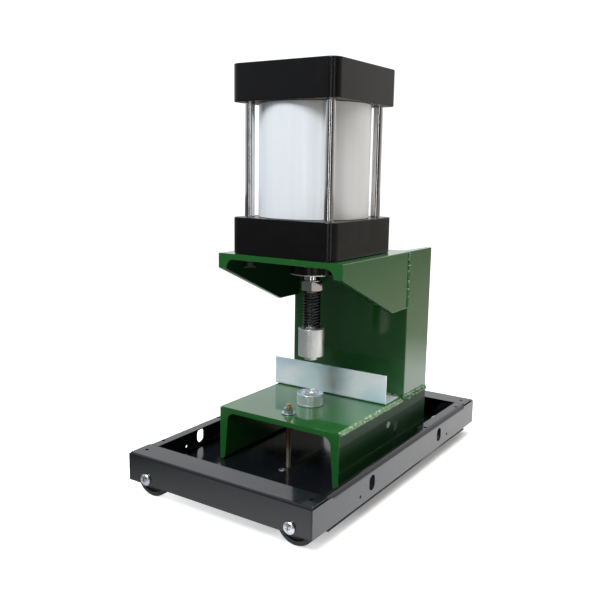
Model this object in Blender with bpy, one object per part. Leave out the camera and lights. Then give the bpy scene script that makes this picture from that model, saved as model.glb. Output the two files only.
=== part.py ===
"""Pneumatic rivet press: a tie-rod air cylinder on a welded channel frame in a wheeled sheet tray.

Metres, +Z up. The origin is on the ground under the middle of the tray, +Y runs to the back.
"""

import math

import bmesh
import bpy
from mathutils import Matrix

# Clearance kept between neighbouring solids
GAP = 0.0003

# Tray of four folded rails and a floor pan
TRAY_WIDTH = 0.268
TRAY_DEPTH = 0.456
WALL_BOTTOM = 0.018
WALL_TOP = 0.054
SHEET = 0.0015
END_LIP = 0.033
END_BEND = 0.003
SIDE_BEND = 0.0062
SIDE_WIDE_LIP = 0.0165
SIDE_NARROW_LIP = 0.0078
SIDE_WIDE_START = 0.052
LIP_HOLE = 0.005
END_LIP_HOLE_X = 0.121
END_LIP_HOLE_INSET = 0.0175
SIDE_LIP_HOLE_Y = (0.067, 0.176)
SIDE_LIP_HOLE_INSET = 0.0075
SLOT_WIDTH = 0.0135
SLOT_HEIGHT = 0.019
SLOT_Y = 0.098
WALL_HOLE = 0.004
WALL_HOLE_Y = 0.126
WALL_HOLE_Z = 0.0285
PAN_TOP = 0.0227
PAN_STEP = 0.126
PAN_FLANGE_Z = 0.0145
PAN_LENGTH = 0.391
PAN_TONGUE_WIDTH = 0.159
PAN_TONGUE_LENGTH = 0.452
DRAIN_HOLE = 0.008
DRAIN_OFFSET = 0.013

# Wheels, whose axles lie along Y
WHEEL_RADIUS = 0.025
WHEEL_WIDTH = 0.012
WHEEL_X = 0.1055
WHEEL_Y = 0.2125
WHEEL_HUB_RADIUS = 0.0105
WHEEL_RIM_INNER = 0.019
WHEEL_RECESS = 0.003
WHEEL_CHAMFER = 0.002
AXLE_RADIUS = 0.004
AXLE_INNER_END = 0.1985
AXLE_HEAD_RADIUS = 0.0074
AXLE_HEAD_HEIGHT = 0.0042
AXLE_NUT_FLATS = 0.013
AXLE_NUT_HEIGHT = 0.0065

# Hot-rolled channel, the one section that the whole frame is cut from
CHANNEL_HEIGHT = 0.180
CHANNEL_FLANGE = 0.071
CHANNEL_WEB = 0.007
FLANGE_ROOT = 0.0132
FLANGE_TOE = 0.0076
ROOT_RADIUS = 0.0105
TOE_RADIUS = 0.005

# Frame
FRAME_X = 0.010
BASE_TOP = 0.094
BASE_FRONT = -0.119
FRAME_BACK = 0.122
HEAD_TOP = 0.294
HEAD_FRONT = -0.1205
HEAD_FLANGE = 0.0755
HEAD_NOSE_DEPTH = 0.0187
HEAD_HEEL_Y = 0.0085

# Line of the cylinder, the punch and the die
AXIS_X = 0.010
AXIS_Y = -0.043

# Cylinder
CAP_WIDTH = 0.148
CAP_CORNER = 0.012
LOWER_CAP_HEIGHT = 0.045
UPPER_CAP_HEIGHT = 0.0443
BARREL_HEIGHT = 0.1364
BARREL_RADIUS = 0.069
BORE_RADIUS = 0.0625
SPIGOT_HEIGHT = 0.008
NOSE_RADIUS = 0.0285
NOSE_BOTTOM = 0.2675
BUSH_RADIUS = 0.016
SEAL_GROOVE_DEPTH = 0.003
SEAL_GROOVE_WIDTH = 0.0035
TIE_ROD_RADIUS = 0.006
TIE_ROD_SPACING = 0.057
TIE_NUT_FLATS = 0.018
TIE_NUT_HEIGHT = 0.010
NUT_POCKET_RADIUS = 0.0110
NUT_POCKET_DEPTH = 0.016
PORT_RADIUS = 0.009
PORT_DEPTH = 0.024
PASSAGE_RADIUS = 0.004
TIE_ROD_THREAD = 0.0215
MOUNT_BOLT_RADIUS = 0.005
MOUNT_HEAD_RADIUS = 0.008
MOUNT_BOLT_THREAD = 0.0175

# Piston and ram
ROD_RADIUS = 0.0122
ROD_BOTTOM = 0.2595
PISTON_BOTTOM = 0.400
PISTON_HEIGHT = 0.032
PISTON_SPIGOT = 0.008
PISTON_GROOVE_DEPTH = 0.0045
PISTON_GROOVE_WIDTH = 0.006
PISTON_GROOVE_EDGE = 0.005
PISTON_NUT_FLATS = 0.024
ROD_SOCKET = 0.018
LOCK_NUT_FLATS = 0.026
LOCK_NUT_BOTTOM = 0.2455

# Punch set
PUNCH_BOTTOM = 0.155
PUNCH_HEAD_RADIUS = 0.0085
SHANK_RADIUS = 0.0065
SLEEVE_BOTTOM = 0.1602
SLEEVE_TOP = 0.1967
SLEEVE_RADIUS = 0.0167
SHOULDER_Z = 0.1806
SPRING_RADIUS = 0.01
SPRING_WIRE = 0.0014
SPRING_TURNS = 12.5

# Lower die
DIE_RADIUS = 0.0175
DIE_HEIGHT = 0.0155
DIE_WALL = 0.0019
DIE_FLOOR = 0.0055
DIE_SCREW_RADIUS = 0.004
DIE_SCREW_HEAD = 0.0065
ANVIL_RADIUS = 0.0074
DISH_RADIUS = 0.0056
DISH_DEPTH = 0.0034

# Back stop of bent angle
FENCE_LEFT = -0.0826
FENCE_RIGHT = 0.094
FENCE_FRONT = 0.0087
FENCE_LEG = 0.0395
FENCE_SHEET = 0.002
FENCE_SCREW_X = (-0.045, 0.065)
FENCE_SCREW_Y = 0.032
FENCE_SCREW_RADIUS = 0.0025
FENCE_SCREW_HEAD = 0.0047

# Hold-down stud through the base and the tray floor
STUD_X = 0.009
STUD_Y = -0.091
STUD_RADIUS = 0.003
STUD_TOP = 0.1063
STUD_BOTTOM = 0.008
STUD_NUT_FLATS = 0.011
STUD_WASHER_RADIUS = 0.0095

# Sides of large, middling and small round pieces; multiples of four, so that a wheel stands on a corner
FINE = 24
MEDIUM = 16
COARSE = 12

# Colour, roughness and metallic value of each finish
FINISHES = {
    "black_paint": ((0.012, 0.012, 0.014), 0.16, 0.0),
    "green_paint": ((0.020, 0.105, 0.022), 0.14, 0.0),
    "cap_black": ((0.010, 0.010, 0.011), 0.34, 0.0),
    "barrel_silver": ((0.80, 0.82, 0.84), 0.42, 0.35),
    "chrome": ((0.78, 0.78, 0.78), 0.12, 1.0),
    "zinc": ((0.62, 0.66, 0.68), 0.30, 1.0),
    "turned_steel": ((0.66, 0.66, 0.65), 0.33, 1.0),
    "blackened_steel": ((0.045, 0.045, 0.047), 0.38, 0.8),
    "galvanised": ((0.55, 0.63, 0.66), 0.34, 0.9),
    "brass": ((0.66, 0.46, 0.24), 0.32, 1.0),
    "bronze": ((0.46, 0.30, 0.15), 0.40, 1.0),
    "rubber": ((0.020, 0.021, 0.020), 0.72, 0.0),
    "nitrile": ((0.014, 0.014, 0.014), 0.62, 0.0),
    "aluminium": ((0.62, 0.63, 0.64), 0.38, 1.0),
}


def clear_scene():
    for item in list(bpy.data.objects):
        bpy.data.objects.remove(item, do_unlink=True)


def finish_material(name, finish):
    colour, roughness, metallic = FINISHES[finish]
    made = bpy.data.materials.new(name)
    made.use_nodes = True
    shader = made.node_tree.nodes["Principled BSDF"]
    shader.inputs["Base Color"].default_value = (*colour, 1.0)
    shader.inputs["Roughness"].default_value = roughness
    shader.inputs["Metallic"].default_value = metallic
    made.diffuse_color = (*colour, 1.0)
    return made


def add_part(name, shape, finish, location=(0, 0, 0), parent=None, turn=0.0):
    """A named part from a bmesh, turned about Z and placed."""
    mesh = bpy.data.meshes.new(name)
    shape.to_mesh(mesh)
    shape.free()
    mesh.shade_smooth()
    mesh.set_sharp_from_angle(angle=math.radians(32))
    mesh.materials.append(finish_material(name, finish))
    part = bpy.data.objects.new(name, mesh)
    bpy.context.collection.objects.link(part)
    part.location = location
    part.rotation_euler.z = turn
    part.parent = parent
    return part


def cut(part, shape):
    """Takes a cutter's shape, given in the part's own coordinates, out of the part."""
    mesh = bpy.data.meshes.new(part.name + "_cutter")
    shape.to_mesh(mesh)
    shape.free()
    cutter = bpy.data.objects.new(mesh.name, mesh)
    bpy.context.collection.objects.link(cutter)
    cutter.parent = part
    cutter.hide_render = True
    cutter.display_type = "WIRE"
    modifier = part.modifiers.new("Cut", "BOOLEAN")
    modifier.operation = "DIFFERENCE"
    modifier.solver = "EXACT"
    modifier.object = cutter


def arc(centre, radius, start, end, steps):
    """Points along an arc, with angles in degrees."""
    angles = [math.radians(start + (end - start) * i / steps) for i in range(steps + 1)]
    return [(centre[0] + radius * math.cos(a), centre[1] + radius * math.sin(a)) for a in angles]


def rounded(corners, steps=4):
    """A closed outline whose corners, given as (x, y, radius), are rounded where the radius isn't 0."""
    outline = []
    for i, (x, y, radius) in enumerate(corners):
        if not radius:
            outline.append((x, y))
            continue
        before = corners[i - 1]
        after = corners[(i + 1) % len(corners)]
        to_before = math.atan2(before[1] - y, before[0] - x)
        to_after = math.atan2(after[1] - y, after[0] - x)
        half = ((to_after - to_before + math.pi) % (2 * math.pi) - math.pi) / 2
        reach = radius / math.sin(abs(half))
        middle = to_before + half
        centre = (x + reach * math.cos(middle), y + reach * math.sin(middle))
        sweep = (math.pi - 2 * abs(half)) * (1 if half > 0 else -1)
        first = middle + math.pi + sweep / 2
        for k in range(steps + 1):
            angle = first - sweep * k / steps
            outline.append((centre[0] + radius * math.cos(angle), centre[1] + radius * math.sin(angle)))
    return outline


def rectangle(width, height, radius=0.0):
    x, y = width / 2, height / 2
    return rounded([(-x, -y, radius), (x, -y, radius), (x, y, radius), (-x, y, radius)])


PLANES = {
    "xy": lambda u, v, w: (u, v, w),
    "xz": lambda u, v, w: (u, w, v),
    "yz": lambda u, v, w: (w, u, v),
}


def prism(outline, start, end, plane="xy"):
    """The outline, drawn in a plane, run from start to end along the third axis."""
    place = PLANES[plane]
    shape = bmesh.new()
    loops = []
    for level in (start, end):
        loops.append([shape.verts.new(place(u, v, level)) for u, v in outline])
    shape.faces.new(loops[0])
    shape.faces.new(loops[1])
    for i, first in enumerate(loops[0]):
        shape.faces.new((loops[0][i - 1], first, loops[1][i], loops[1][i - 1]))
    bmesh.ops.recalc_face_normals(shape, faces=shape.faces)
    return shape


def box(low, high):
    outline = [(low[0], low[1]), (high[0], low[1]), (high[0], high[1]), (low[0], high[1])]
    return prism(outline, low[2], high[2])


def turned(profile, segments):
    """A solid turned about Z from (radius, height) points; off the axis the profile is a closed ring."""
    shape = bmesh.new()
    points = [shape.verts.new((radius, 0, height)) for radius, height in profile]
    edges = [shape.edges.new(pair) for pair in zip(points, points[1:])]
    if profile[0][0] > 0:
        edges.append(shape.edges.new((points[-1], points[0])))
    bmesh.ops.spin(
        shape, geom=points + edges, cent=(0, 0, 0), axis=(0, 0, 1), angle=2 * math.pi,
        steps=segments, use_merge=True,
    )
    bmesh.ops.remove_doubles(shape, verts=shape.verts, dist=1e-7)
    bmesh.ops.recalc_face_normals(shape, faces=shape.faces)
    return shape


def cylinder(radius, start, end, segments=MEDIUM, chamfer=0.0):
    profile = [(0, start), (radius, start), (radius, end), (0, end)]
    if chamfer:
        profile[1:3] = [
            (radius - chamfer, start), (radius, start + chamfer),
            (radius, end - chamfer), (radius - chamfer, end),
        ]
    return turned(profile, segments)


def ring(inner, outer, start, end, segments=MEDIUM, chamfer=0.0):
    profile = [(inner, start), (outer - chamfer, start), (outer, start + chamfer),
               (outer, end - chamfer), (outer - chamfer, end), (inner, end)]
    if not chamfer:
        profile = [(inner, start), (outer, start), (outer, end), (inner, end)]
    return turned(profile, segments)


def hexagon(flats, start, end, bore, chamfer=0.001):
    """A hex nut with its corners chamfered on both faces and a plain bore."""
    corner = flats / math.sqrt(3)
    outline = arc((0, 0), corner, 0, 300, 5)
    shape = prism(outline, start, end)
    rims = [edge for edge in shape.edges if edge.verts[0].co.z == edge.verts[1].co.z]
    bmesh.ops.bevel(
        shape, geom=rims, offset=chamfer, segments=1, profile=0.5, affect="EDGES", material=-1,
    )
    nut_bore = cylinder(bore, start - 0.01, end + 0.01, COARSE)
    return shape, nut_bore


def merged(*shapes):
    """Several separate shapes in one bmesh."""
    whole = bmesh.new()
    for shape in shapes:
        mesh = bpy.data.meshes.new("merge")
        shape.to_mesh(mesh)
        shape.free()
        whole.from_mesh(mesh)
        bpy.data.meshes.remove(mesh)
    return whole


def moved(shape, x=0.0, y=0.0, z=0.0):
    bmesh.ops.translate(shape, verts=shape.verts, vec=(x, y, z))
    return shape


def along_y(shape):
    """Lays a shape that was made about Z along Y, its +Z end towards +Y."""
    bmesh.ops.transform(shape, matrix=Matrix.Rotation(-math.pi / 2, 4, "X"), verts=shape.verts)
    return shape


def along_x(shape):
    """Lays a shape that was made about Z along X, its +Z end towards +X."""
    bmesh.ops.transform(shape, matrix=Matrix.Rotation(math.pi / 2, 4, "Y"), verts=shape.verts)
    return shape


def folded_lip(lip, bend):
    """Section of a sheet wall with a lip folded inwards: outer face at 0, inwards positive."""
    return rounded([
        (0, WALL_BOTTOM, 0), (0, WALL_TOP, bend), (lip, WALL_TOP, 0),
        (lip, WALL_TOP - SHEET, 0), (SHEET, WALL_TOP - SHEET, bend - SHEET), (SHEET, WALL_BOTTOM, 0),
    ])


def end_rail(name, turn):
    """Front rail, or the rear one when turned round: it carries two axles, with a lip over the wheels."""
    half = TRAY_WIDTH / 2 - SHEET - GAP
    section = [(u - TRAY_DEPTH / 2, v) for u, v in folded_lip(END_LIP, END_BEND)]
    rail = add_part(name, prism(section, -half, half, "yz"), "black_paint", turn=turn)
    axle_holes = []
    lip_holes = []
    for side in (-1, 1):
        hole = along_y(cylinder(AXLE_RADIUS + GAP, -0.005, 0.005, COARSE))
        axle_holes.append(moved(hole, side * WHEEL_X, -TRAY_DEPTH / 2, WHEEL_RADIUS))
        lip_hole = cylinder(LIP_HOLE / 2, -0.005, 0.005, COARSE)
        lip_hole_y = END_LIP_HOLE_INSET - TRAY_DEPTH / 2
        lip_holes.append(moved(lip_hole, side * END_LIP_HOLE_X, lip_hole_y, WALL_TOP))
    cut(rail, merged(*axle_holes, *lip_holes))
    return rail


def side_rail(name, turn):
    """Right rail, or the left one when turned round: its lip is wide over the rear part only."""
    outer = TRAY_WIDTH / 2
    half = TRAY_DEPTH / 2
    lip_end = half - END_LIP - GAP
    section = [(outer - u, v) for u, v in folded_lip(SIDE_WIDE_LIP, SIDE_BEND)]
    rail = add_part(name, prism(section, -lip_end, lip_end, "xz"), "black_paint", turn=turn)
    for side in (-1, 1):
        start, end = sorted((side * (lip_end - SIDE_BEND), side * half))
        end_top = WALL_TOP - SHEET - 2 * GAP
        joined(rail, box((outer - SHEET, start, WALL_BOTTOM), (outer, end, end_top)))
    wide = outer - SIDE_WIDE_LIP
    narrow = outer - SIDE_NARROW_LIP
    shelf_end = SIDE_WIDE_START
    notch = rounded([
        (wide - 0.01, -half - 0.01, 0), (narrow, -half - 0.01, 0), (narrow, shelf_end - 0.012, 0.012),
        (wide + 0.003, shelf_end + 0.006, 0.004), (wide - 0.01, shelf_end + 0.006, 0),
    ])
    cut(rail, prism(notch, WALL_TOP - 0.01, WALL_TOP + 0.01))
    holes = []
    for side in (-1, 1):
        slot = prism(rectangle(SLOT_WIDTH, SLOT_HEIGHT, SLOT_WIDTH / 2 - 1e-5), -0.005, 0.005, "yz")
        middle = (WALL_BOTTOM + WALL_TOP) / 2
        holes.append(moved(slot, outer, side * SLOT_Y, middle))
        small = along_x(cylinder(WALL_HOLE / 2, -0.005, 0.005, COARSE))
        holes.append(moved(small, outer, side * WALL_HOLE_Y, WALL_HOLE_Z))
    for y in SIDE_LIP_HOLE_Y:
        lip_hole = cylinder(LIP_HOLE / 2, -0.005, 0.005, COARSE)
        holes.append(moved(lip_hole, outer - SIDE_LIP_HOLE_INSET, y, WALL_TOP))
    cut(rail, merged(*holes))
    return rail


def floor_pan():
    """Raised floor, stepped down and out under the side walls and notched for the wheels."""
    top, step, edge = PAN_TOP, PAN_STEP, TRAY_WIDTH / 2
    low = PAN_FLANGE_Z
    section = [
        (-edge, low), (-step + SHEET, low), (-step + SHEET, top - SHEET), (step - SHEET, top - SHEET),
        (step - SHEET, low), (edge, low), (edge, low + SHEET), (step, low + SHEET),
        (step, top), (-step, top), (-step, low + SHEET), (-edge, low + SHEET),
    ]
    reach = PAN_TONGUE_LENGTH / 2
    pan = add_part("floor_pan", prism(section, -reach, reach, "xz"), "black_paint")
    corners = []
    for x in (-TRAY_WIDTH, PAN_TONGUE_WIDTH / 2):
        for y in (-TRAY_DEPTH, PAN_LENGTH / 2):
            far = (x + TRAY_WIDTH - PAN_TONGUE_WIDTH / 2, y + TRAY_DEPTH - PAN_LENGTH / 2, WALL_TOP)
            corners.append(box((x, y, 0), far))
    cut(pan, merged(*corners))
    stud_hole = moved(cylinder(STUD_RADIUS + GAP, 0.01, 0.03, COARSE), STUD_X, STUD_Y)
    drain = moved(cylinder(DRAIN_HOLE / 2, 0.01, 0.03, COARSE), STUD_X, STUD_Y - DRAIN_OFFSET)
    cut(pan, merged(stud_hole, drain))
    return pan


def wheel(name, x, side):
    """A wheel with recessed faces, its longer hub boss towards the tray's end wall."""
    half = WHEEL_WIDTH / 2
    bore = AXLE_RADIUS + GAP
    hub, rim = WHEEL_HUB_RADIUS, WHEEL_RIM_INNER
    tread, web = half - WHEEL_CHAMFER, half - WHEEL_RECESS
    wall_side = TRAY_DEPTH / 2 - SHEET - GAP - WHEEL_Y
    profile = [
        (bore, -half - GAP), (hub, -half - GAP), (hub, -web), (rim, -web), (rim, -half),
        (WHEEL_RADIUS - WHEEL_CHAMFER, -half), (WHEEL_RADIUS, -tread), (WHEEL_RADIUS, tread),
        (WHEEL_RADIUS - WHEEL_CHAMFER, half), (rim, half), (rim, web), (hub, web),
        (hub, wall_side), (bore, wall_side),
    ]
    shape = along_y(turned(profile, FINE))
    turn = 0.0 if side > 0 else math.pi
    return add_part(name, shape, "rubber", (x, side * WHEEL_Y, WHEEL_RADIUS), turn=turn)


def axle_bolt(name, x, side):
    """Round-headed bolt from outside the end wall, through the wheel."""
    wall = TRAY_DEPTH / 2
    head = AXLE_HEAD_RADIUS
    height = AXLE_HEAD_HEIGHT
    profile = [
        (0, AXLE_INNER_END), (AXLE_RADIUS, AXLE_INNER_END), (AXLE_RADIUS, wall + GAP),
        (head, wall + GAP), (head, wall + GAP + 0.3 * height),
        (0.75 * head, wall + GAP + 0.82 * height), (0, wall + GAP + height),
    ]
    turn = 0.0 if side > 0 else math.pi
    return add_part(name, along_y(turned(profile, MEDIUM)), "zinc", (x, 0, WHEEL_RADIUS), turn=turn)


def hex_part(name, flats, start, end, bore, finish, location=(0, 0, 0), parent=None, lay_along_y=False):
    nut, nut_bore = hexagon(flats, start, end, bore)
    if lay_along_y:
        nut, nut_bore = along_y(nut), along_y(nut_bore)
    part = add_part(name, nut, finish, location, parent)
    cut(part, nut_bore)
    return part


def tray():
    end_rail("front_rail", 0.0)
    end_rail("rear_rail", math.pi)
    side_rail("right_rail", 0.0)
    side_rail("left_rail", math.pi)
    floor_pan()
    for depth_name, side in (("front", -1), ("rear", 1)):
        for width_name, x in (("left", -WHEEL_X), ("right", WHEEL_X)):
            place = depth_name + "_" + width_name
            wheel("wheel_" + place, x, side)
            axle_bolt("axle_bolt_" + place, x, side)
            nut_outer = side * (WHEEL_Y - WHEEL_WIDTH / 2 - 2 * GAP)
            start, end = sorted((nut_outer, nut_outer - side * AXLE_NUT_HEIGHT))
            hex_part(
                "axle_nut_" + place, AXLE_NUT_FLATS, start, end, AXLE_RADIUS + GAP, "zinc",
                (x, 0, WHEEL_RADIUS), lay_along_y=True,
            )


def channel_section(flange=CHANNEL_FLANGE):
    """Rolled channel, web on top at 0 and flanges hanging down."""
    side = CHANNEL_HEIGHT / 2
    drop = -flange
    half = [
        (side, 0, 0.0012), (side, drop, 0.001), (side - FLANGE_TOE, drop, TOE_RADIUS),
        (side - FLANGE_ROOT, -CHANNEL_WEB, ROOT_RADIUS),
    ]
    other = [(-x, y, radius) for x, y, radius in reversed(half)]
    return rounded(half + other)


def base_channel():
    section = [(FRAME_X + u, BASE_TOP + v) for u, v in channel_section()]
    base = add_part("base_channel", prism(section, BASE_FRONT, FRAME_BACK, "xz"), "green_paint")
    low, high = BASE_TOP - 0.02, BASE_TOP + 0.01
    holes = [
        moved(cylinder(STUD_RADIUS + GAP, low, high, COARSE), STUD_X, STUD_Y),
        moved(cylinder(DIE_SCREW_RADIUS + GAP, low, high, COARSE), AXIS_X, AXIS_Y),
    ]
    for x in FENCE_SCREW_X:
        holes.append(moved(cylinder(FENCE_SCREW_RADIUS + GAP, low, high, COARSE), x, FENCE_SCREW_Y))
    cut(base, merged(*holes))
    return base


def column_channel():
    """Upright whose web faces forwards and whose flanges point back."""
    front = FRAME_BACK - CHANNEL_FLANGE
    section = [(FRAME_X + u, front - v) for u, v in channel_section()]
    return add_part("column_channel", prism(section, BASE_TOP + GAP, HEAD_TOP), "green_paint")


def head_channel():
    """Arm that carries the cylinder, its flanges cut away towards the front."""
    back = FRAME_BACK - CHANNEL_FLANGE - GAP
    section = [(FRAME_X + u, HEAD_TOP + v) for u, v in channel_section(HEAD_FLANGE)]
    head = add_part("head_channel", prism(section, HEAD_FRONT, back, "xz"), "green_paint")
    heel_z = HEAD_TOP - HEAD_FLANGE
    nose_z = HEAD_TOP - HEAD_NOSE_DEPTH
    slope = (heel_z - nose_z) / (HEAD_HEEL_Y - HEAD_FRONT)
    start = HEAD_FRONT - 0.02
    below = heel_z - 0.02
    offcut = [(start, below), (HEAD_HEEL_Y, below), (HEAD_HEEL_Y, heel_z), (start, nose_z - 0.02 * slope)]
    cut(head, prism(offcut, FRAME_X - 0.1, FRAME_X + 0.1, "yz"))
    low, high = HEAD_TOP - 0.02, HEAD_TOP + 0.01
    holes = [moved(cylinder(NOSE_RADIUS + 0.0005, low, high, FINE), AXIS_X, AXIS_Y)]
    for x, y in tie_rod_places():
        holes.append(moved(cylinder(MOUNT_BOLT_RADIUS + GAP, low, high, COARSE), x, y))
    cut(head, merged(*holes))
    return head


def tie_rod_places():
    offset = TIE_ROD_SPACING
    return [(AXIS_X + sx * offset, AXIS_Y + sy * offset) for sy in (-1, 1) for sx in (-1, 1)]


def hold_down():
    """Threaded stud with a nut and a wide washer on the base, and a nut under the tray floor."""
    top = BASE_TOP + GAP
    washer_top = top + 0.0016
    stud = cylinder(STUD_RADIUS, STUD_BOTTOM, STUD_TOP, COARSE, 0.0006)
    add_part("hold_down_stud", stud, "brass", (STUD_X, STUD_Y, 0))
    washer = ring(STUD_RADIUS + GAP, STUD_WASHER_RADIUS, top, washer_top, MEDIUM)
    add_part("hold_down_washer", washer, "zinc", (STUD_X, STUD_Y, 0))
    nut_low = washer_top + GAP
    hex_part(
        "hold_down_nut", STUD_NUT_FLATS, nut_low, nut_low + 0.0055, STUD_RADIUS + GAP, "zinc",
        (STUD_X, STUD_Y, 0),
    )
    under = PAN_TOP - SHEET - GAP
    hex_part(
        "hold_down_lower_nut", STUD_NUT_FLATS, under - 0.0055, under, STUD_RADIUS + GAP, "zinc",
        (STUD_X, STUD_Y, 0),
    )


def back_fence():
    """Galvanised angle that the work is pushed against, with two screws through its foot."""
    low = BASE_TOP + GAP
    front, leg, sheet = FENCE_FRONT, FENCE_LEG, FENCE_SHEET
    section = rounded([
        (front, low, 0.0025), (front + leg, low, 0), (front + leg, low + sheet, 0),
        (front + sheet, low + sheet, 0.0008), (front + sheet, low + leg, 0), (front, low + leg, 0),
    ], 3)
    fence = add_part("back_fence", prism(section, FENCE_LEFT, FENCE_RIGHT, "yz"), "galvanised")
    holes = [
        moved(cylinder(FENCE_SCREW_RADIUS + GAP, low - 0.01, low + 0.01, COARSE), x, FENCE_SCREW_Y)
        for x in FENCE_SCREW_X
    ]
    cut(fence, merged(*holes))
    head_low = low + sheet + GAP
    tip = BASE_TOP - CHANNEL_WEB - 0.003
    shank, head = FENCE_SCREW_RADIUS, FENCE_SCREW_HEAD
    profile = [
        (0, tip), (shank, tip), (shank, head_low), (head, head_low), (head, head_low + 0.0014),
        (0.77 * head, head_low + 0.0028), (0, head_low + 0.0031),
    ]
    for name, x in zip(("fence_screw_left", "fence_screw_right"), FENCE_SCREW_X):
        add_part(name, turned(profile, COARSE), "zinc", (x, FENCE_SCREW_Y, 0))


def lower_die():
    """Die cup with an anvil in its middle, held by a screw from under the base."""
    low = BASE_TOP + GAP
    high = low + DIE_HEIGHT
    place = (AXIS_X, AXIS_Y, 0)
    inner = DIE_RADIUS - DIE_WALL
    bore = DIE_SCREW_RADIUS + GAP
    edge = 0.0006
    cup_profile = [
        (bore, low), (DIE_RADIUS - edge, low), (DIE_RADIUS, low + edge), (DIE_RADIUS, high - edge),
        (DIE_RADIUS - edge, high), (inner, high), (inner, low + DIE_FLOOR), (bore, low + DIE_FLOOR),
    ]
    add_part("lower_die_cup", turned(cup_profile, FINE), "zinc", place)
    anvil_low = low + DIE_FLOOR + GAP
    dish_low = high - DISH_DEPTH
    roof = dish_low - 0.0012
    anvil_profile = [
        (bore, anvil_low), (ANVIL_RADIUS, anvil_low), (ANVIL_RADIUS, high - edge),
        (ANVIL_RADIUS - edge, high), (DISH_RADIUS, high), (DISH_RADIUS - 0.001, dish_low + 0.0004),
        (0, dish_low), (0, roof), (bore, roof),
    ]
    anvil = turned_with_core(anvil_profile)
    add_part("lower_die_anvil", anvil, "turned_steel", place)
    web_low = BASE_TOP - CHANNEL_WEB - GAP
    tip = roof - 0.0014
    head_low = web_low - 2 * DIE_SCREW_RADIUS
    screw_profile = [
        (0, head_low), (DIE_SCREW_HEAD - edge, head_low), (DIE_SCREW_HEAD, head_low + edge),
        (DIE_SCREW_HEAD, web_low), (DIE_SCREW_RADIUS, web_low), (DIE_SCREW_RADIUS, tip), (0, tip),
    ]
    add_part("lower_die_screw", turned(screw_profile, COARSE), "blackened_steel", place)


def turned_with_core(profile):
    """A turned solid whose profile leaves the axis at both ends of a blind hole."""
    shape = bmesh.new()
    points = [shape.verts.new((radius, 0, height)) for radius, height in profile]
    edges = []
    for first, second in zip(points, points[1:] + points[:1]):
        if first.co.x > 0 or second.co.x > 0:
            edges.append(shape.edges.new((first, second)))
    bmesh.ops.spin(
        shape, geom=points + edges, cent=(0, 0, 0), axis=(0, 0, 1), angle=2 * math.pi,
        steps=MEDIUM, use_merge=True,
    )
    bmesh.ops.remove_doubles(shape, verts=shape.verts, dist=1e-7)
    bmesh.ops.recalc_face_normals(shape, faces=shape.faces)
    return shape


def cap_block(low, high):
    """Square cylinder cap with rounded upright corners and softened rims, centred on the axis."""
    shape = prism(rectangle(CAP_WIDTH, CAP_WIDTH, CAP_CORNER), low, high)
    rims = [edge for edge in shape.edges if edge.verts[0].co.z == edge.verts[1].co.z]
    bmesh.ops.bevel(
        shape, geom=rims, offset=0.001, segments=1, profile=0.5, affect="EDGES", material=-1,
    )
    return shape


def joined(part, shape):
    """Adds a shape, given in the part's own coordinates, to the part."""
    mesh = bpy.data.meshes.new(part.name + "_addition")
    shape.to_mesh(mesh)
    shape.free()
    extra = bpy.data.objects.new(mesh.name, mesh)
    bpy.context.collection.objects.link(extra)
    extra.parent = part
    extra.hide_render = True
    extra.display_type = "WIRE"
    modifier = part.modifiers.new("Join", "BOOLEAN")
    modifier.operation = "UNION"
    modifier.solver = "EXACT"
    modifier.object = extra


def lower_cap(low, high):
    """Rod-end cap: a nose through the head plate, a spigot in the barrel and a bore for the rod's bush."""
    place = (AXIS_X, AXIS_Y, 0)
    cap = add_part("lower_cap", cap_block(low, high), "cap_black", place)
    joined(cap, cylinder(NOSE_RADIUS, NOSE_BOTTOM, low + 0.01, FINE, 0.0008))
    joined(cap, cylinder(BORE_RADIUS - GAP, high - 0.01, high + SPIGOT_HEIGHT, FINE))
    cut(cap, seal_groove(high + 0.0025))
    cut(cap, cylinder(BUSH_RADIUS + GAP, NOSE_BOTTOM - 0.01, high + SPIGOT_HEIGHT + 0.01, MEDIUM))
    holes = []
    for x, y in tie_rod_places():
        hole = cylinder(TIE_ROD_RADIUS + GAP, high - TIE_ROD_THREAD - 2 * GAP, high + 0.01, COARSE)
        holes.append(moved(hole, x - AXIS_X, y - AXIS_Y))
        bolt_end = low + MOUNT_BOLT_THREAD + 2 * GAP
        bolt_hole = cylinder(MOUNT_BOLT_RADIUS + GAP, low - 0.01, bolt_end, COARSE)
        holes.append(moved(bolt_hole, x - AXIS_X, y - AXIS_Y))
    cut(cap, merged(*holes))
    cut(cap, rear_port((low + high) / 2))
    cut(cap, chamber_passage((low + high) / 2, high + SPIGOT_HEIGHT + 0.01))
    return cap


def seal_groove(low):
    outer = BORE_RADIUS + SEAL_GROOVE_DEPTH
    return ring(BORE_RADIUS - SEAL_GROOVE_DEPTH, outer, low, low + SEAL_GROOVE_WIDTH, FINE)


def rear_port(middle):
    return moved(along_y(cylinder(PORT_RADIUS, -PORT_DEPTH, 0.01, MEDIUM)), 0, CAP_WIDTH / 2, middle)


def chamber_passage(start, end):
    low, high = sorted((start, end))
    return moved(cylinder(PASSAGE_RADIUS, low, high, COARSE), 0, CAP_WIDTH / 2 - PORT_DEPTH + PASSAGE_RADIUS)


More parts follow.
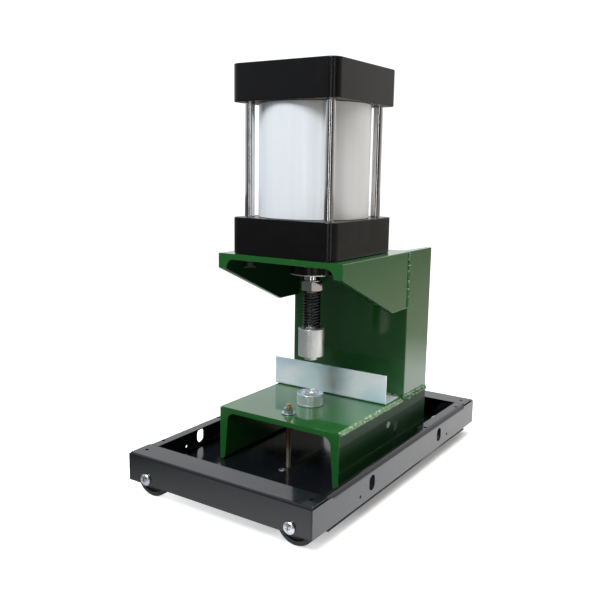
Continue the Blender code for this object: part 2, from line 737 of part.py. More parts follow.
def upper_cap(low, high):
    """Blind-end cap: a spigot in the barrel, pockets for the tie-rod nuts and an air port."""
    place = (AXIS_X, AXIS_Y, 0)
    cap = add_part("upper_cap", cap_block(low, high), "cap_black", place)
    joined(cap, cylinder(BORE_RADIUS - GAP, low - SPIGOT_HEIGHT, low + 0.01, FINE))
    cut(cap, seal_groove(low - 0.006))
    rod_holes = []
    pockets = []
    for x, y in tie_rod_places():
        rod_hole = cylinder(TIE_ROD_RADIUS + GAP, low - 0.01, high + 0.01, COARSE)
        rod_holes.append(moved(rod_hole, x - AXIS_X, y - AXIS_Y))
        pocket = cylinder(NUT_POCKET_RADIUS, high - NUT_POCKET_DEPTH, high + 0.01, MEDIUM)
        pockets.append(moved(pocket, x - AXIS_X, y - AXIS_Y))
    cut(cap, merged(*rod_holes))
    cut(cap, merged(*pockets))
    cut(cap, rear_port((low + high) / 2))
    cut(cap, chamber_passage(low - SPIGOT_HEIGHT - 0.01, (low + high) / 2))
    return cap


def air_cylinder():
    """Caps, barrel, seals, tie rods and their nuts, and the bolts that hold the cylinder to the head."""
    place = (AXIS_X, AXIS_Y, 0)
    cap_low = HEAD_TOP + GAP
    cap_high = cap_low + LOWER_CAP_HEIGHT
    barrel_low = cap_high + GAP
    barrel_high = barrel_low + BARREL_HEIGHT
    top_low = barrel_high + GAP
    top_high = top_low + UPPER_CAP_HEIGHT
    lower_cap(cap_low, cap_high)
    upper_cap(top_low, top_high)
    barrel = ring(BORE_RADIUS, BARREL_RADIUS, barrel_low, barrel_high, FINE)
    add_part("barrel", barrel, "barrel_silver", place)
    seal_inner = BORE_RADIUS - SEAL_GROOVE_DEPTH + GAP
    seal_height = SEAL_GROOVE_WIDTH - 2 * GAP
    for name, low in (("barrel_seal_lower", cap_high + 0.0028), ("barrel_seal_upper", top_low - 0.0057)):
        seal = ring(seal_inner, BORE_RADIUS - GAP, low, low + seal_height, FINE)
        add_part(name, seal, "nitrile", place)
    bush = ring(ROD_RADIUS + GAP, BUSH_RADIUS, NOSE_BOTTOM + 0.006, cap_high - 0.006, MEDIUM)
    add_part("rod_bush", bush, "bronze", place)
    bore = ROD_RADIUS + GAP
    wiper_top = NOSE_BOTTOM + 0.0056
    wiper_profile = [
        (bore, NOSE_BOTTOM - 0.0012), (BUSH_RADIUS - 0.0014, NOSE_BOTTOM - 0.0006),
        (BUSH_RADIUS, NOSE_BOTTOM + 0.0008), (BUSH_RADIUS, wiper_top), (bore, wiper_top),
    ]
    add_part("rod_seal", turned(wiper_profile, MEDIUM), "nitrile", place)
    nut_low = top_high - NUT_POCKET_DEPTH + GAP
    for i, (x, y) in enumerate(tie_rod_places(), start=1):
        rod_top = nut_low + TIE_NUT_HEIGHT + 0.0025
        rod = cylinder(TIE_ROD_RADIUS, cap_high - TIE_ROD_THREAD, rod_top, COARSE, 0.0006)
        add_part("tie_rod_" + str(i), rod, "chrome", (x, y, 0))
        hex_part(
            "tie_rod_nut_" + str(i), TIE_NUT_FLATS, nut_low, nut_low + TIE_NUT_HEIGHT,
            TIE_ROD_RADIUS + GAP, "zinc", (x, y, 0),
        )
        add_part("mount_bolt_" + str(i), mount_bolt(cap_low), "blackened_steel", (x, y, 0))


def mount_bolt(cap_low):
    """Socket-head bolt up through the head plate into the lower cap."""
    web_low = HEAD_TOP - CHANNEL_WEB - GAP
    head = MOUNT_HEAD_RADIUS
    socket = 0.0042
    head_low = web_low - 2 * MOUNT_BOLT_RADIUS
    socket_top = web_low - MOUNT_BOLT_RADIUS
    tip = cap_low + MOUNT_BOLT_THREAD
    profile = [
        (0, socket_top), (socket, socket_top), (socket, head_low), (head - 0.0008, head_low),
        (head, head_low + 0.0008), (head, web_low), (MOUNT_BOLT_RADIUS, web_low),
        (MOUNT_BOLT_RADIUS, tip), (0, tip),
    ]
    return turned(profile, COARSE)


def ram():
    """Everything that the air drives: piston, rod, lock nut and punch."""
    line = bpy.data.objects.new("ram_line", None)
    bpy.context.collection.objects.link(line)
    line.location = (AXIS_X, AXIS_Y, 0)
    low = PISTON_BOTTOM
    high = low + PISTON_HEIGHT
    radius = BORE_RADIUS - GAP
    groove = BORE_RADIUS - PISTON_GROOVE_DEPTH
    near, far = PISTON_GROOVE_EDGE, PISTON_GROOVE_EDGE + PISTON_GROOVE_WIDTH
    bore = PISTON_SPIGOT + GAP
    piston_profile = [
        (bore, low), (radius, low), (radius, low + near), (groove, low + near), (groove, low + far),
        (radius, low + far), (radius, high - far), (groove, high - far), (groove, high - near),
        (radius, high - near), (radius, high), (bore, high),
    ]
    add_part("piston", turned(piston_profile, FINE), "aluminium", parent=line)
    for name, groove_low in (("piston_seal_lower", low + near), ("piston_seal_upper", high - far)):
        start, end = groove_low + GAP, groove_low + PISTON_GROOVE_WIDTH - GAP
        seal = ring(groove + GAP, BORE_RADIUS - GAP / 2, start, end, FINE)
        add_part(name, seal, "nitrile", parent=line)
    socket, socket_top = SHANK_RADIUS + GAP, ROD_BOTTOM + ROD_SOCKET
    nut_top = high + 0.0105
    rod_top = nut_top + 0.002
    rod_profile = [
        (0, socket_top), (socket, socket_top), (socket, ROD_BOTTOM), (ROD_RADIUS - 0.0008, ROD_BOTTOM),
        (ROD_RADIUS, ROD_BOTTOM + 0.0008), (ROD_RADIUS, low - GAP), (PISTON_SPIGOT, low - GAP),
        (PISTON_SPIGOT, rod_top), (0, rod_top),
    ]
    add_part("piston_rod", turned(rod_profile, FINE), "chrome", parent=line)
    hex_part(
        "piston_nut", PISTON_NUT_FLATS, high + GAP, nut_top, PISTON_SPIGOT + GAP, "zinc", parent=line,
    )
    hex_part(
        "punch_lock_nut", LOCK_NUT_FLATS, LOCK_NUT_BOTTOM, ROD_BOTTOM - GAP, socket,
        "chrome", parent=line,
    )
    head_top = SHOULDER_Z - GAP
    shank_top = socket_top - GAP
    low = PUNCH_BOTTOM
    punch_profile = [
        (0, low + 0.0014), (0.0025, low + 0.0009), (0.004, low), (PUNCH_HEAD_RADIUS - 0.0006, low),
        (PUNCH_HEAD_RADIUS, low + 0.0006), (PUNCH_HEAD_RADIUS, head_top), (SHANK_RADIUS, head_top),
        (SHANK_RADIUS, shank_top), (0, shank_top),
    ]
    add_part("punch", turned(punch_profile, MEDIUM), "turned_steel", parent=line)
    return line


def punch_sleeve(line):
    """Sprung sleeve round the punch: it holds the work, and rides up the punch as the rivet is set."""
    wide = PUNCH_HEAD_RADIUS + GAP
    tight = SHANK_RADIUS + GAP
    edge = 0.001
    profile = [
        (wide, SLEEVE_BOTTOM), (SLEEVE_RADIUS - edge, SLEEVE_BOTTOM), (SLEEVE_RADIUS, SLEEVE_BOTTOM + edge),
        (SLEEVE_RADIUS, SLEEVE_TOP - edge), (SLEEVE_RADIUS - edge, SLEEVE_TOP), (tight, SLEEVE_TOP),
        (tight, SHOULDER_Z), (wide, SHOULDER_Z),
    ]
    add_part("punch_sleeve", turned(profile, FINE), "turned_steel", parent=line)


def die_spring(line):
    """Compression spring between the lock nut and the sleeve, its end turns lying close."""
    low = SLEEVE_TOP + SPRING_WIRE + GAP
    high = LOCK_NUT_BOTTOM - SPRING_WIRE - GAP
    per_turn = 11
    sides = 5
    count = round(SPRING_TURNS * per_turn)
    rings = []
    shape = bmesh.new()
    for i in range(count + 1):
        t = i / count
        angle = 2 * math.pi * SPRING_TURNS * t
        height = low + (high - low) * t
        ring_verts = []
        for k in range(sides):
            around = 2 * math.pi * k / sides
            radius = SPRING_RADIUS + SPRING_WIRE * math.cos(around)
            z = height + SPRING_WIRE * math.sin(around)
            ring_verts.append(shape.verts.new((radius * math.cos(angle), radius * math.sin(angle), z)))
        rings.append(ring_verts)
    for first, second in zip(rings, rings[1:]):
        for k in range(sides):
            after = (k + 1) % sides
            shape.faces.new((first[k], first[after], second[after], second[k]))
    shape.faces.new(rings[0])
    shape.faces.new(rings[-1])
    bmesh.ops.recalc_face_normals(shape, faces=shape.faces)
    add_part("die_spring", shape, "blackened_steel", parent=line)


def main():
    clear_scene()
    tray()
    base_channel()
    column_channel()
    head_channel()
    hold_down()
    back_fence()
    lower_die()
    air_cylinder()
    line = ram()
    punch_sleeve(line)
    die_spring(line)


main()
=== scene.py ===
import math
import random

import bmesh
import bpy
from mathutils import Matrix, Vector


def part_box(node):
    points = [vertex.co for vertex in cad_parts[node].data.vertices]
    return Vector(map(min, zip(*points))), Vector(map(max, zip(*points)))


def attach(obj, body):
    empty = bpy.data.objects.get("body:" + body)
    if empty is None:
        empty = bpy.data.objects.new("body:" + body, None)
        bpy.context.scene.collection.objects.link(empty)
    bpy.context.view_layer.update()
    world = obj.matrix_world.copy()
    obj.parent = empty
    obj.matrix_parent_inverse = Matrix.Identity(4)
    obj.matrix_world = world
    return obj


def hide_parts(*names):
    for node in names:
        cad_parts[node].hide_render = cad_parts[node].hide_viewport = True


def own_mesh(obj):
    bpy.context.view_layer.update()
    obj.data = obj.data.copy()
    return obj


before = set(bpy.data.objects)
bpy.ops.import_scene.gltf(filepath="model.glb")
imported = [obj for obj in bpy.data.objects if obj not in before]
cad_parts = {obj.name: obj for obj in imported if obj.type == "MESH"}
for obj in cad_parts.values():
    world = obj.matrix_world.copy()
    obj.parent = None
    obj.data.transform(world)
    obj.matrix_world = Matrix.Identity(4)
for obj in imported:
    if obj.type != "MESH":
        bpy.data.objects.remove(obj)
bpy.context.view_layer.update()        # bodies, nodes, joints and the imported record
print("frame loaded:", len(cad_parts), "nodes")

# how finely round things are made
detail = {"barrel": 128, "fine": 96, "medium": 56, "small": 36, "corner": 10, "sharpAngle": 36,
          "softAngle": 40}
gap = 0.0003  # clearance between neighbouring solids, as in the CAD


def arcPoints(centre, radius, start, end, steps):
    angles = [math.radians(start + (end - start) * i / steps) for i in range(steps + 1)]
    return [(centre[0] + radius * math.cos(a), centre[1] + radius * math.sin(a)) for a in angles]


def roundedOutline(corners, steps=10):
    # corners are (x, y, radius); a radius of 0 keeps the corner sharp
    outline = []
    for i, (x, y, radius) in enumerate(corners):
        if not radius:
            outline.append((x, y))
            continue
        before, after = corners[i - 1], corners[(i + 1) % len(corners)]
        toBefore = math.atan2(before[1] - y, before[0] - x)
        toAfter = math.atan2(after[1] - y, after[0] - x)
        half = ((toAfter - toBefore + math.pi) % (2 * math.pi) - math.pi) / 2
        middle = toBefore + half
        reach = radius / math.sin(abs(half))
        centre = (x + reach * math.cos(middle), y + reach * math.sin(middle))
        sweep = math.degrees(math.pi - 2 * abs(half)) * (1 if half > 0 else -1)
        first = math.degrees(middle + math.pi) + sweep / 2
        outline += arcPoints(centre, radius, first, first - sweep, steps)
    return outline


def boxOutline(width, height, radius, steps=10):
    x, y = width / 2, height / 2
    return roundedOutline([(-x, -y, radius), (x, -y, radius), (x, y, radius), (-x, y, radius)], steps)


def radiusOf(node):
    low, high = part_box(node)
    return (high.x - low.x) / 2


def middleOf(node):
    low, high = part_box(node)
    return (low.x + high.x) / 2, (low.y + high.y) / 2


planes = {
    "xy": lambda u, v, w: (u, v, w),
    "xz": lambda u, v, w: (u, w, v),
    "yz": lambda u, v, w: (w, u, v),
}


def extruded(outline, start, end, plane="xy"):
    bm = bmesh.new()
    face = bm.faces.new([bm.verts.new(planes[plane](u, v, start)) for u, v in outline])
    grown = bmesh.ops.extrude_face_region(bm, geom=[face], use_keep_orig=True)
    tips = [item for item in grown["geom"] if isinstance(item, bmesh.types.BMVert)]
    bmesh.ops.translate(bm, verts=tips, vec=Vector(planes[plane](0, 0, end - start)))
    bmesh.ops.recalc_face_normals(bm, faces=bm.faces)
    return bm


def block(low, high):
    bm = bmesh.new()
    bmesh.ops.create_cube(bm, size=1)
    size = [b - a for a, b in zip(low, high)]
    bmesh.ops.scale(bm, vec=size, verts=bm.verts)
    bmesh.ops.translate(bm, vec=[(a + b) / 2 for a, b in zip(low, high)], verts=bm.verts)
    return bm


def turned(profile, steps):
    # profile is (radius, height) points; off the axis it closes on itself, as a ring
    bm = bmesh.new()
    points = [bm.verts.new((radius, 0, height)) for radius, height in profile]
    edges = []
    for first, second in zip(points, points[1:] + points[:1]):
        if first.co.x > 0 or second.co.x > 0:
            edges.append(bm.edges.new((first, second)))
    bmesh.ops.spin(bm, geom=points + edges, cent=(0, 0, 0), axis=(0, 0, 1),
                   angle=2 * math.pi, steps=steps, use_merge=True)
    bmesh.ops.remove_doubles(bm, verts=bm.verts, dist=2e-7)
    bmesh.ops.recalc_face_normals(bm, faces=bm.faces)
    return bm


def rod(radius, low, high, steps=detail["small"]):
    return turned([(0, low), (radius, low), (radius, high), (0, high)], steps)


def softCorner(inner, outer, low, high, soft, steps=4):
    # profile of a ring whose two outer corners are rounded
    return ([(inner, low)] + arcPoints((outer - soft, low + soft), soft, -90, 0, steps)
            + arcPoints((outer - soft, high - soft), soft, 0, 90, steps) + [(inner, high)])


def soften(bm, width, segments=2):
    limit = math.radians(detail["softAngle"])
    sharp = [edge for edge in bm.edges if edge.is_manifold and edge.calc_face_angle(0) > limit]
    bmesh.ops.bevel(bm, geom=sharp, offset=width, offset_type="OFFSET", segments=segments, profile=0.5,
                    affect="EDGES", material=-1, clamp_overlap=True)
    return bm


def socketScrew(low, seat, high, head, shank, chamfers, socket, depth, steps):
    # a cap screw with its head down and a hex socket in it
    headEdge, endEdge = chamfers
    bm = turned([(0, low), (head - headEdge, low), (head, low + headEdge), (head, seat), (shank, seat),
                 (shank, high - endEdge), (shank - endEdge, high), (0, high)], detail[steps])
    return worked(bm, [extruded(arcPoints((0, 0), socket, 0, 300, 5), low - 0.001, low + depth)])


def nutShape(flats, low, high, bore, rim=0.97, sides=8):
    # hex nut whose corners are turned off at 30 degrees, so that each flat ends in an arc
    corner = flats / math.sqrt(3)
    hexagon = arcPoints((0, 0), corner, 0, 300, 5)
    outer = []
    for (x0, y0), (x1, y1) in zip(hexagon, hexagon[1:] + hexagon[:1]):
        outer += [(x0 + (x1 - x0) * i / sides, y0 + (y1 - y0) * i / sides) for i in range(sides)]
    circle = flats / 2 * rim
    slope = math.tan(math.radians(30))
    sink = bore * 0.12
    bm = bmesh.new()

    def loop(radius, height, follow=False, sign=1):
        verts = []
        for x, y in outer:
            r = math.hypot(x, y)
            scale = 1 if follow else radius / r
            drop = (r - circle) * slope if follow else 0
            verts.append(bm.verts.new((x * scale, y * scale, height - sign * drop)))
        return [bm.edges.new(pair) for pair in zip(verts, verts[1:] + verts[:1])]

    loops = [loop(bore, low + sink), loop(bore + sink, low), loop(circle, low), loop(0, low, True, -1),
             loop(0, high, True, 1), loop(circle, high), loop(bore + sink, high), loop(bore, high - sink)]
    for first, second in zip(loops, loops[1:] + loops[:1]):
        bmesh.ops.bridge_loops(bm, edges=first + second)
    bmesh.ops.recalc_face_normals(bm, faces=bm.faces)
    return bm


def threadedRod(radius, low, high, pitch, steps=24):
    # one pitch of thread, screwed upwards, then cut square at both ends
    depth = pitch * 0.5
    turns = math.ceil((high - low) / pitch) + 2
    bm = bmesh.new()
    start = low - pitch
    core = radius - depth
    profile = [(core, 0), (core, 0.1), (radius, 0.42), (radius, 0.58), (core, 0.9), (core, 1.0)]
    points = [bm.verts.new((r, 0, start + pitch * (t + turn))) for turn in range(turns) for r, t in profile]
    pairs = [pair for pair in zip(points, points[1:]) if (pair[0].co - pair[1].co).length > 1e-9]
    edges = [bm.edges.new(pair) for pair in pairs]
    bmesh.ops.spin(bm, geom=points + edges, cent=(0, 0, 0), axis=(0, 0, 1), dvec=(0, 0, pitch / steps),
                   angle=2 * math.pi, steps=steps, use_merge=False)
    bmesh.ops.remove_doubles(bm, verts=bm.verts, dist=1e-6)
    for height, normal in ((low, (0, 0, -1)), (high, (0, 0, 1))):
        cut = bmesh.ops.bisect_plane(bm, geom=bm.verts[:] + bm.edges[:] + bm.faces[:],
                                     plane_co=(0, 0, height), plane_no=normal, clear_outer=True)
        rim = [item for item in cut["geom_cut"] if isinstance(item, bmesh.types.BMEdge)]
        bmesh.ops.contextual_create(bm, geom=rim)
    bmesh.ops.recalc_face_normals(bm, faces=bm.faces)
    return bm


def moved(bm, x=0.0, y=0.0, z=0.0):
    bmesh.ops.translate(bm, verts=bm.verts, vec=(x, y, z))
    return bm


def laidAlongY(bm, side=1):
    # a shape made about Z is laid along Y, its top towards +Y, or towards -Y for side -1
    bmesh.ops.transform(bm, matrix=Matrix.Rotation(-side * math.pi / 2, 4, "X"), verts=bm.verts)
    return bm


def laidAlongX(bm):
    bmesh.ops.transform(bm, matrix=Matrix.Rotation(math.pi / 2, 4, "Y"), verts=bm.verts)
    return bm


def looseObject(bm, name="tool"):
    mesh = bpy.data.meshes.new(name)
    bm.to_mesh(mesh)
    bm.free()
    thing = bpy.data.objects.new(name, mesh)
    bpy.context.collection.objects.link(thing)
    return thing


def worked(bm, tools, operation="DIFFERENCE"):
    # the shape after each tool is cut from it, or joined to it, as a new bmesh
    work = looseObject(bm, "work")
    things = [looseObject(tool) for tool in tools]
    for thing in things:
        modifier = work.modifiers.new("Work", "BOOLEAN")
        modifier.operation = operation
        modifier.solver = "EXACT"
        modifier.object = thing
    result = bmesh.new()
    result.from_object(work, bpy.context.evaluated_depsgraph_get())
    for thing in [work] + things:
        mesh = thing.data
        bpy.data.objects.remove(thing)
        bpy.data.meshes.remove(mesh)
    bmesh.ops.remove_doubles(result, verts=result.verts, dist=1e-7)
    return result


def together(*shapes):
    whole = bmesh.new()
    for shape in shapes:
        mesh = bpy.data.meshes.new("part")
        shape.to_mesh(mesh)
        shape.free()
        whole.from_mesh(mesh)
        bpy.data.meshes.remove(mesh)
    return whole


def addTurned(name, profile, steps, finish, nodes, body="frame", place=None):
    # a piece turned on the cylinder's axis, or on a place of its own
    x, y = place or (axisX, axisY)
    addPiece(name, moved(turned(profile, detail[steps]), x, y), mats[finish], nodes, body)


def addPiece(name, bm, material, replaces, body="frame", even=True):
    # replaces names the CAD nodes that this piece stands for; they are hidden
    mesh = bpy.data.meshes.new(name)
    bm.to_mesh(mesh)
    bm.free()
    mesh.shade_smooth()
    mesh.set_sharp_from_angle(angle=math.radians(detail["sharpAngle"]))
    mesh.materials.append(material)
    piece = bpy.data.objects.new(name, mesh)
    bpy.context.collection.objects.link(piece)
    if even:
        piece.modifiers.new("Even normals", "WEIGHTED_NORMAL").keep_sharp = True
    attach(piece, body)
    if replaces:
        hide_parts(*replaces)
    return piece


class Nodes:
    # short words for the shader nodes that the finishes are made of

    def __init__(self, tree, shader, space="Object"):
        self.tree = tree
        self.shader = tree.nodes[shader]
        self.place = self.made("TexCoord")[space]

    def made(self, kind, inputs=None, **settings):
        node = self.tree.nodes.new("ShaderNode" + kind)
        for key, value in settings.items():
            setattr(node, key, value)
        for key, value in (inputs or {}).items():
            self.feed(node.inputs[key], value)
        return node.outputs

    def feed(self, socket, value):
        if isinstance(value, bpy.types.NodeSocket):
            self.tree.links.new(value, socket)
        elif hasattr(value, "__len__") and len(value) == 3 and len(socket.default_value) == 4:
            socket.default_value = (*value, 1.0)
        else:
            socket.default_value = value

    def set(self, name, value):
        self.feed(self.shader.inputs[name], value)

    def mapped(self, centre=(0, 0, 0), scale=(1, 1, 1)):
        shift = [-c * s for c, s in zip(centre, scale)]
        return self.made("Mapping", {"Vector": self.place, "Location": shift, "Scale": scale},
                         vector_type="POINT")["Vector"]

    def noise(self, scale, depth=4.0, roughness=0.55, twist=0.0, at=None):
        return self.made("TexNoise", {"Vector": at or self.place, "Scale": scale, "Detail": depth,
                                      "Roughness": roughness, "Distortion": twist})["Fac"]

    def cells(self, scale, output="Distance", at=None):
        return self.made("TexVoronoi", {"Vector": at or self.place, "Scale": scale}, feature="F1")[output]

    def ranged(self, value, fromLow, fromHigh, toLow=0.0, toHigh=1.0):
        return self.made("MapRange", {"Value": value, "From Min": fromLow, "From Max": fromHigh,
                                      "To Min": toLow, "To Max": toHigh})["Result"]

    def sums(self, operation, first, second=0.0):
        return self.made("Math", {0: first, 1: second}, operation=operation)[0]

    def vectors(self, operation, first, second=(0, 0, 0)):
        return self.made("VectorMath", {0: first, 1: second}, operation=operation)["Value"]

    def blended(self, share, first, second):
        return self.made("Mix", {0: share, 6: first, 7: second}, data_type="RGBA")[2]

    def axis(self, letter, at=None):
        return self.made("SeparateXYZ", {0: at or self.place})[letter]

    def edges(self, radius):
        # 1 where a rounded normal leaves the true one, which is along the piece's edges
        soft = self.made("Bevel", {"Radius": radius}, samples=4)["Normal"]
        return self.ranged(self.vectors("DOT_PRODUCT", soft, self.made("NewGeometry")["Normal"]), 0.96, 0.65)

    def bump(self, *heights):
        # heights are (socket, distance in metres, strength), each laid over the one before
        normal = None
        for height, distance, strength in heights:
            inputs = {"Height": height, "Distance": distance, "Strength": strength}
            if normal:
                inputs["Normal"] = normal
            normal = self.made("Bump", inputs)["Normal"]
        self.set("Normal", normal)


def newFinish(name, metallic=0.0, ior=1.5, coat=0.0, coatRoughness=0.05):
    material = bpy.data.materials.new(name)
    material.use_nodes = True
    look = Nodes(material.node_tree, "Principled BSDF")
    look.material = material
    look.set("Metallic", metallic)
    look.set("IOR", ior)
    look.set("Coat Weight", coat)
    look.set("Coat Roughness", coatRoughness)
    return look


trayPaint = {"colour": (0.004, 0.0044, 0.0062), "cloud": (0.0062, 0.0068, 0.0092), "wear": (0.16, 0.15, 0.15),
             "gloss": 0.10, "smudge": 0.20, "coat": 0.3, "ior": 1.5}
framePaint = {"colour": (0.011, 0.080, 0.015), "cloud": (0.017, 0.104, 0.021), "wear": (0.34, 0.38, 0.30),
              "gloss": 0.08, "smudge": 0.20, "coat": 0.6, "ior": 1.5}
capPaint = {"colour": (0.0028, 0.0027, 0.003), "cloud": (0.0046, 0.0043, 0.0046), "wear": (0.1, 0.095, 0.09),
            "gloss": 0.20, "smudge": 0.30, "coat": 0.0, "ior": 1.42}
# painted shade laid over the paint: its dark colour, its specular level, how much rougher it makes the paint
# and how soft its box edges are
paintedShade = {"colour": (0.0020, 0.0120, 0.0030), "specular": 0.02, "dull": 0.8, "edge": 0.0002}


def paintShadeIn(look, colour, shadeBoxes):
    # painted shade: inside each box (low corner, high corner, strength) the paint colour is darkened and its
    # coat and specular are turned down
    amount = 0.0
    for low, high, strength in shadeBoxes:
        inside = strength
        for axis, first, last in zip("XYZ", low, high):
            along, soft = look.axis(axis), paintedShade["edge"]
            inside = look.sums("MULTIPLY", inside, look.ranged(along, first - soft, first + soft))
            inside = look.sums("MULTIPLY", inside, look.ranged(along, last + soft, last - soft))
        amount = look.sums("MAXIMUM", amount, inside)
    coat = look.shader.inputs["Coat Weight"].default_value
    look.set("Coat Weight", look.ranged(amount, 0, 1, coat, 0.0))
    look.set("Specular IOR Level", look.ranged(amount, 0, 1, 0.5, paintedShade["specular"]))
    return amount, look.blended(amount, colour, paintedShade["colour"])


def glossPaint(name, paint, chipAmount, chips=(), shadeBoxes=()):
    # sprayed paint: slow colour clouds, orange peel, fingerprints, dust in the paint and worn edges
    look = newFinish(name, ior=paint["ior"], coat=paint["coat"], coatRoughness=0.03)
    colour = look.blended(look.noise(9, 3), paint["colour"], paint["cloud"])
    shadeAmount = 0.0
    # painted shade inside the given boxes: darker colour, less coat and specular, and rougher paint
    if shadeBoxes:
        shadeAmount, colour = paintShadeIn(look, colour, shadeBoxes)
    dust = look.ranged(look.cells(210), 0.0, 0.11, 1.0, 0.0)
    speck = look.sums("MULTIPLY", dust, look.ranged(look.noise(40, 2), 0.56, 0.66))
    grit = look.noise(420, 5, 0.7)
    rubbed = look.ranged(look.sums("ADD", grit, look.noise(34, 3)), 2 * chipAmount - 0.12, 2 * chipAmount)
    worn = look.sums("MULTIPLY", look.edges(0.0011), rubbed)
    for centre, size in chips:
        near = look.vectors("LENGTH", look.mapped(centre, [1 / s for s in size]))
        rough = look.sums("ADD", near, look.sums("MULTIPLY", grit, 1.1))
        worn = look.sums("MAXIMUM", worn, look.ranged(rough, 1.62, 1.48))
    wear = look.blended(grit, paint["wear"], [c * 0.55 for c in paint["wear"]])
    look.set("Base Color", look.blended(worn, colour, wear))
    smudge = look.ranged(look.noise(26, 5, 0.6, 0.6), 0.38, 0.72, paint["gloss"], paint["smudge"])
    dull = look.sums("MAXIMUM", worn, look.sums("MULTIPLY", shadeAmount, paintedShade["dull"]))
    look.set("Roughness", look.blended(dull, smudge, (0.62, 0.62, 0.62)))
    sag, peel = look.noise(30, 1, 0.3), look.noise(330, 2, 0.4)
    look.bump((sag, 0.0004, 0.25), (peel, 0.00002, 0.9), (look.sums("SUBTRACT", speck, worn), 0.00006, 0.8))
    return look.material


def barrelFinish():
    # white-silver anodising on drawn tube, with faint lines along its length
    look = newFinish("barrelFinish", metallic=0.12, coat=0.25, coatRoughness=0.18)
    lines = look.noise(260, 6, 0.75, at=look.mapped(scale=(1, 1, 0.012)))
    wide = look.noise(38, 3, at=look.mapped(scale=(1, 1, 0.05)))
    share = look.ranged(look.sums("MULTIPLY", lines, wide), 0.12, 0.42)
    look.set("Base Color", look.blended(share, (0.82, 0.83, 0.84), (0.76, 0.77, 0.78)))
    look.set("Roughness", look.ranged(wide, 0.3, 0.7, 0.30, 0.42))
    look.bump((lines, 0.000006, 0.25), (look.noise(900, 2), 0.000006, 0.5))
    return look.material


def metal(name, colour, tone, rough, lines=None, grain=900, depth=0.00001, spots=None, spotColour=None,
          sheen=1.0):
    # bare or plated metal: slow tone, fine grain, tool lines along or round it, and spots of oxide
    look = newFinish(name, metallic=sheen)
    slow = look.noise(55, 4)
    base = look.blended(look.ranged(slow, 0.3, 0.7), colour, tone)
    fine = look.noise(grain, 4, 0.65)
    heights = [(fine, depth, 0.6)]
    roughSource = look.sums("MULTIPLY", slow, fine)
    if lines:
        ribs = look.noise(1, 5, 0.7, at=look.mapped(scale=lines))
        heights.append((ribs, depth * 2, 0.9))
        roughSource = look.sums("MULTIPLY", slow, ribs)
        base = look.blended(look.ranged(ribs, 0.35, 0.8, 0.0, 0.35), base, [c * 0.62 for c in colour])
    if spots:
        base = look.blended(look.ranged(look.noise(spots, 5, 0.7, 0.4), 0.60, 0.74), base, spotColour)
    look.set("Base Color", base)
    look.set("Roughness", look.ranged(roughSource, 0.12, 0.42, *rough))
    look.bump(*heights)
    return look.material


def galvanisedFinish():
    # rolled zinc sheet: bluish spangle, cloudy patches and fine rolling lines
    look = newFinish("galvanisedFinish", metallic=0.25)
    cell = look.axis("X", at=look.cells(190, "Color", at=look.mapped(scale=(1, 1, 1.6))))
    cloud = look.noise(13, 2, 0.4, 0.2, at=look.mapped(scale=(1, 1, 1.5)))
    base = look.blended(look.ranged(cloud, 0.40, 0.62), (0.62, 0.78, 0.83), (0.92, 0.96, 0.96))
    base = look.blended(look.ranged(cell, 0, 1, 0, 0.06), base, (0.45, 0.56, 0.64))
    look.set("Base Color", base)
    look.set("Roughness", look.ranged(look.sums("ADD", cloud, cell), 0.4, 1.5, 0.30, 0.46))
    look.bump((look.noise(1, 4, 0.6, at=look.mapped(scale=(4, 900, 900))), 0.000008, 0.7))
    return look.material


def studFinish(low, high):
    # copper-brown thread with a bright lower half and a brass tip
    look = newFinish("studFinish", metallic=1.0)
    wander = look.sums("MULTIPLY", look.noise(260, 4, 0.7), 0.012)
    level = look.sums("ADD", look.axis("Z"), wander)
    base = look.blended(look.ranged(level, low + 0.044, low + 0.050), (0.66, 0.58, 0.44), (0.52, 0.36, 0.24))
    base = look.blended(look.ranged(level, high - 0.010, high - 0.006), base, (0.80, 0.48, 0.25))
    rust = look.ranged(look.noise(700, 5, 0.75), 0.52, 0.66)
    look.set("Base Color", look.blended(look.sums("MULTIPLY", rust, 0.6), base, (0.10, 0.05, 0.03)))
    look.set("Roughness", look.ranged(rust, 0, 1, 0.28, 0.6))
    look.bump((look.noise(1500, 3), 0.00002, 0.7))
    return look.material


def rubberFinish(name, colour, scuff, grain):
    look = newFinish(name, ior=1.48)
    pores = look.noise(grain, 4, 0.6)
    worn = look.sums("MAXIMUM", look.ranged(look.noise(70, 5, 0.65), 0.5, 0.72), look.edges(0.0009))
    look.set("Base Color", look.blended(look.sums("MULTIPLY", worn, 0.7), colour, scuff))
    look.set("Roughness", look.ranged(look.sums("ADD", pores, worn), 0.3, 1.4, 0.48, 0.78))
    look.bump((pores, 0.00004, 0.8))
    return look.material


def weldFinish(name, paint, bare, share, rough):
    # a bead under paint that didn't cover: green in the hollows, bare and slaggy on the crests
    look = newFinish(name, coat=0.3, coatRoughness=0.12)
    lumps, pits = look.noise(300, 6, 0.72, 0.3), look.cells(420)
    crest = look.sums("SUBTRACT", lumps, look.sums("MULTIPLY", pits, 0.25))
    bareness = look.ranged(crest, share, share + 0.10)
    dark = look.ranged(look.noise(520, 3), 0.60, 0.68)
    look.set("Base Color", look.blended(dark, look.blended(bareness, paint, bare), (0.008, 0.012, 0.008)))
    look.set("Roughness", look.ranged(bareness, 0, 1, 0.16, rough))
    look.bump((lumps, 0.0006, 0.9), (pits, 0.0002, 0.6))
    return look.material


# painted shade: the paint is darkened and dulled on the base's two sides and inside the head
paintedShadePlaces = [
    ((0.0992, -0.1187, 0), (0.1010, 0.1222, 0.0930), 0.80),
    ((-0.0810, -0.1187, 0), (-0.0792, 0.1222, 0.0930), 0.80),
    ((-0.0738, -0.1200, 0.2), (0.0938, 0.0505, 0.2932), 0.90),
]
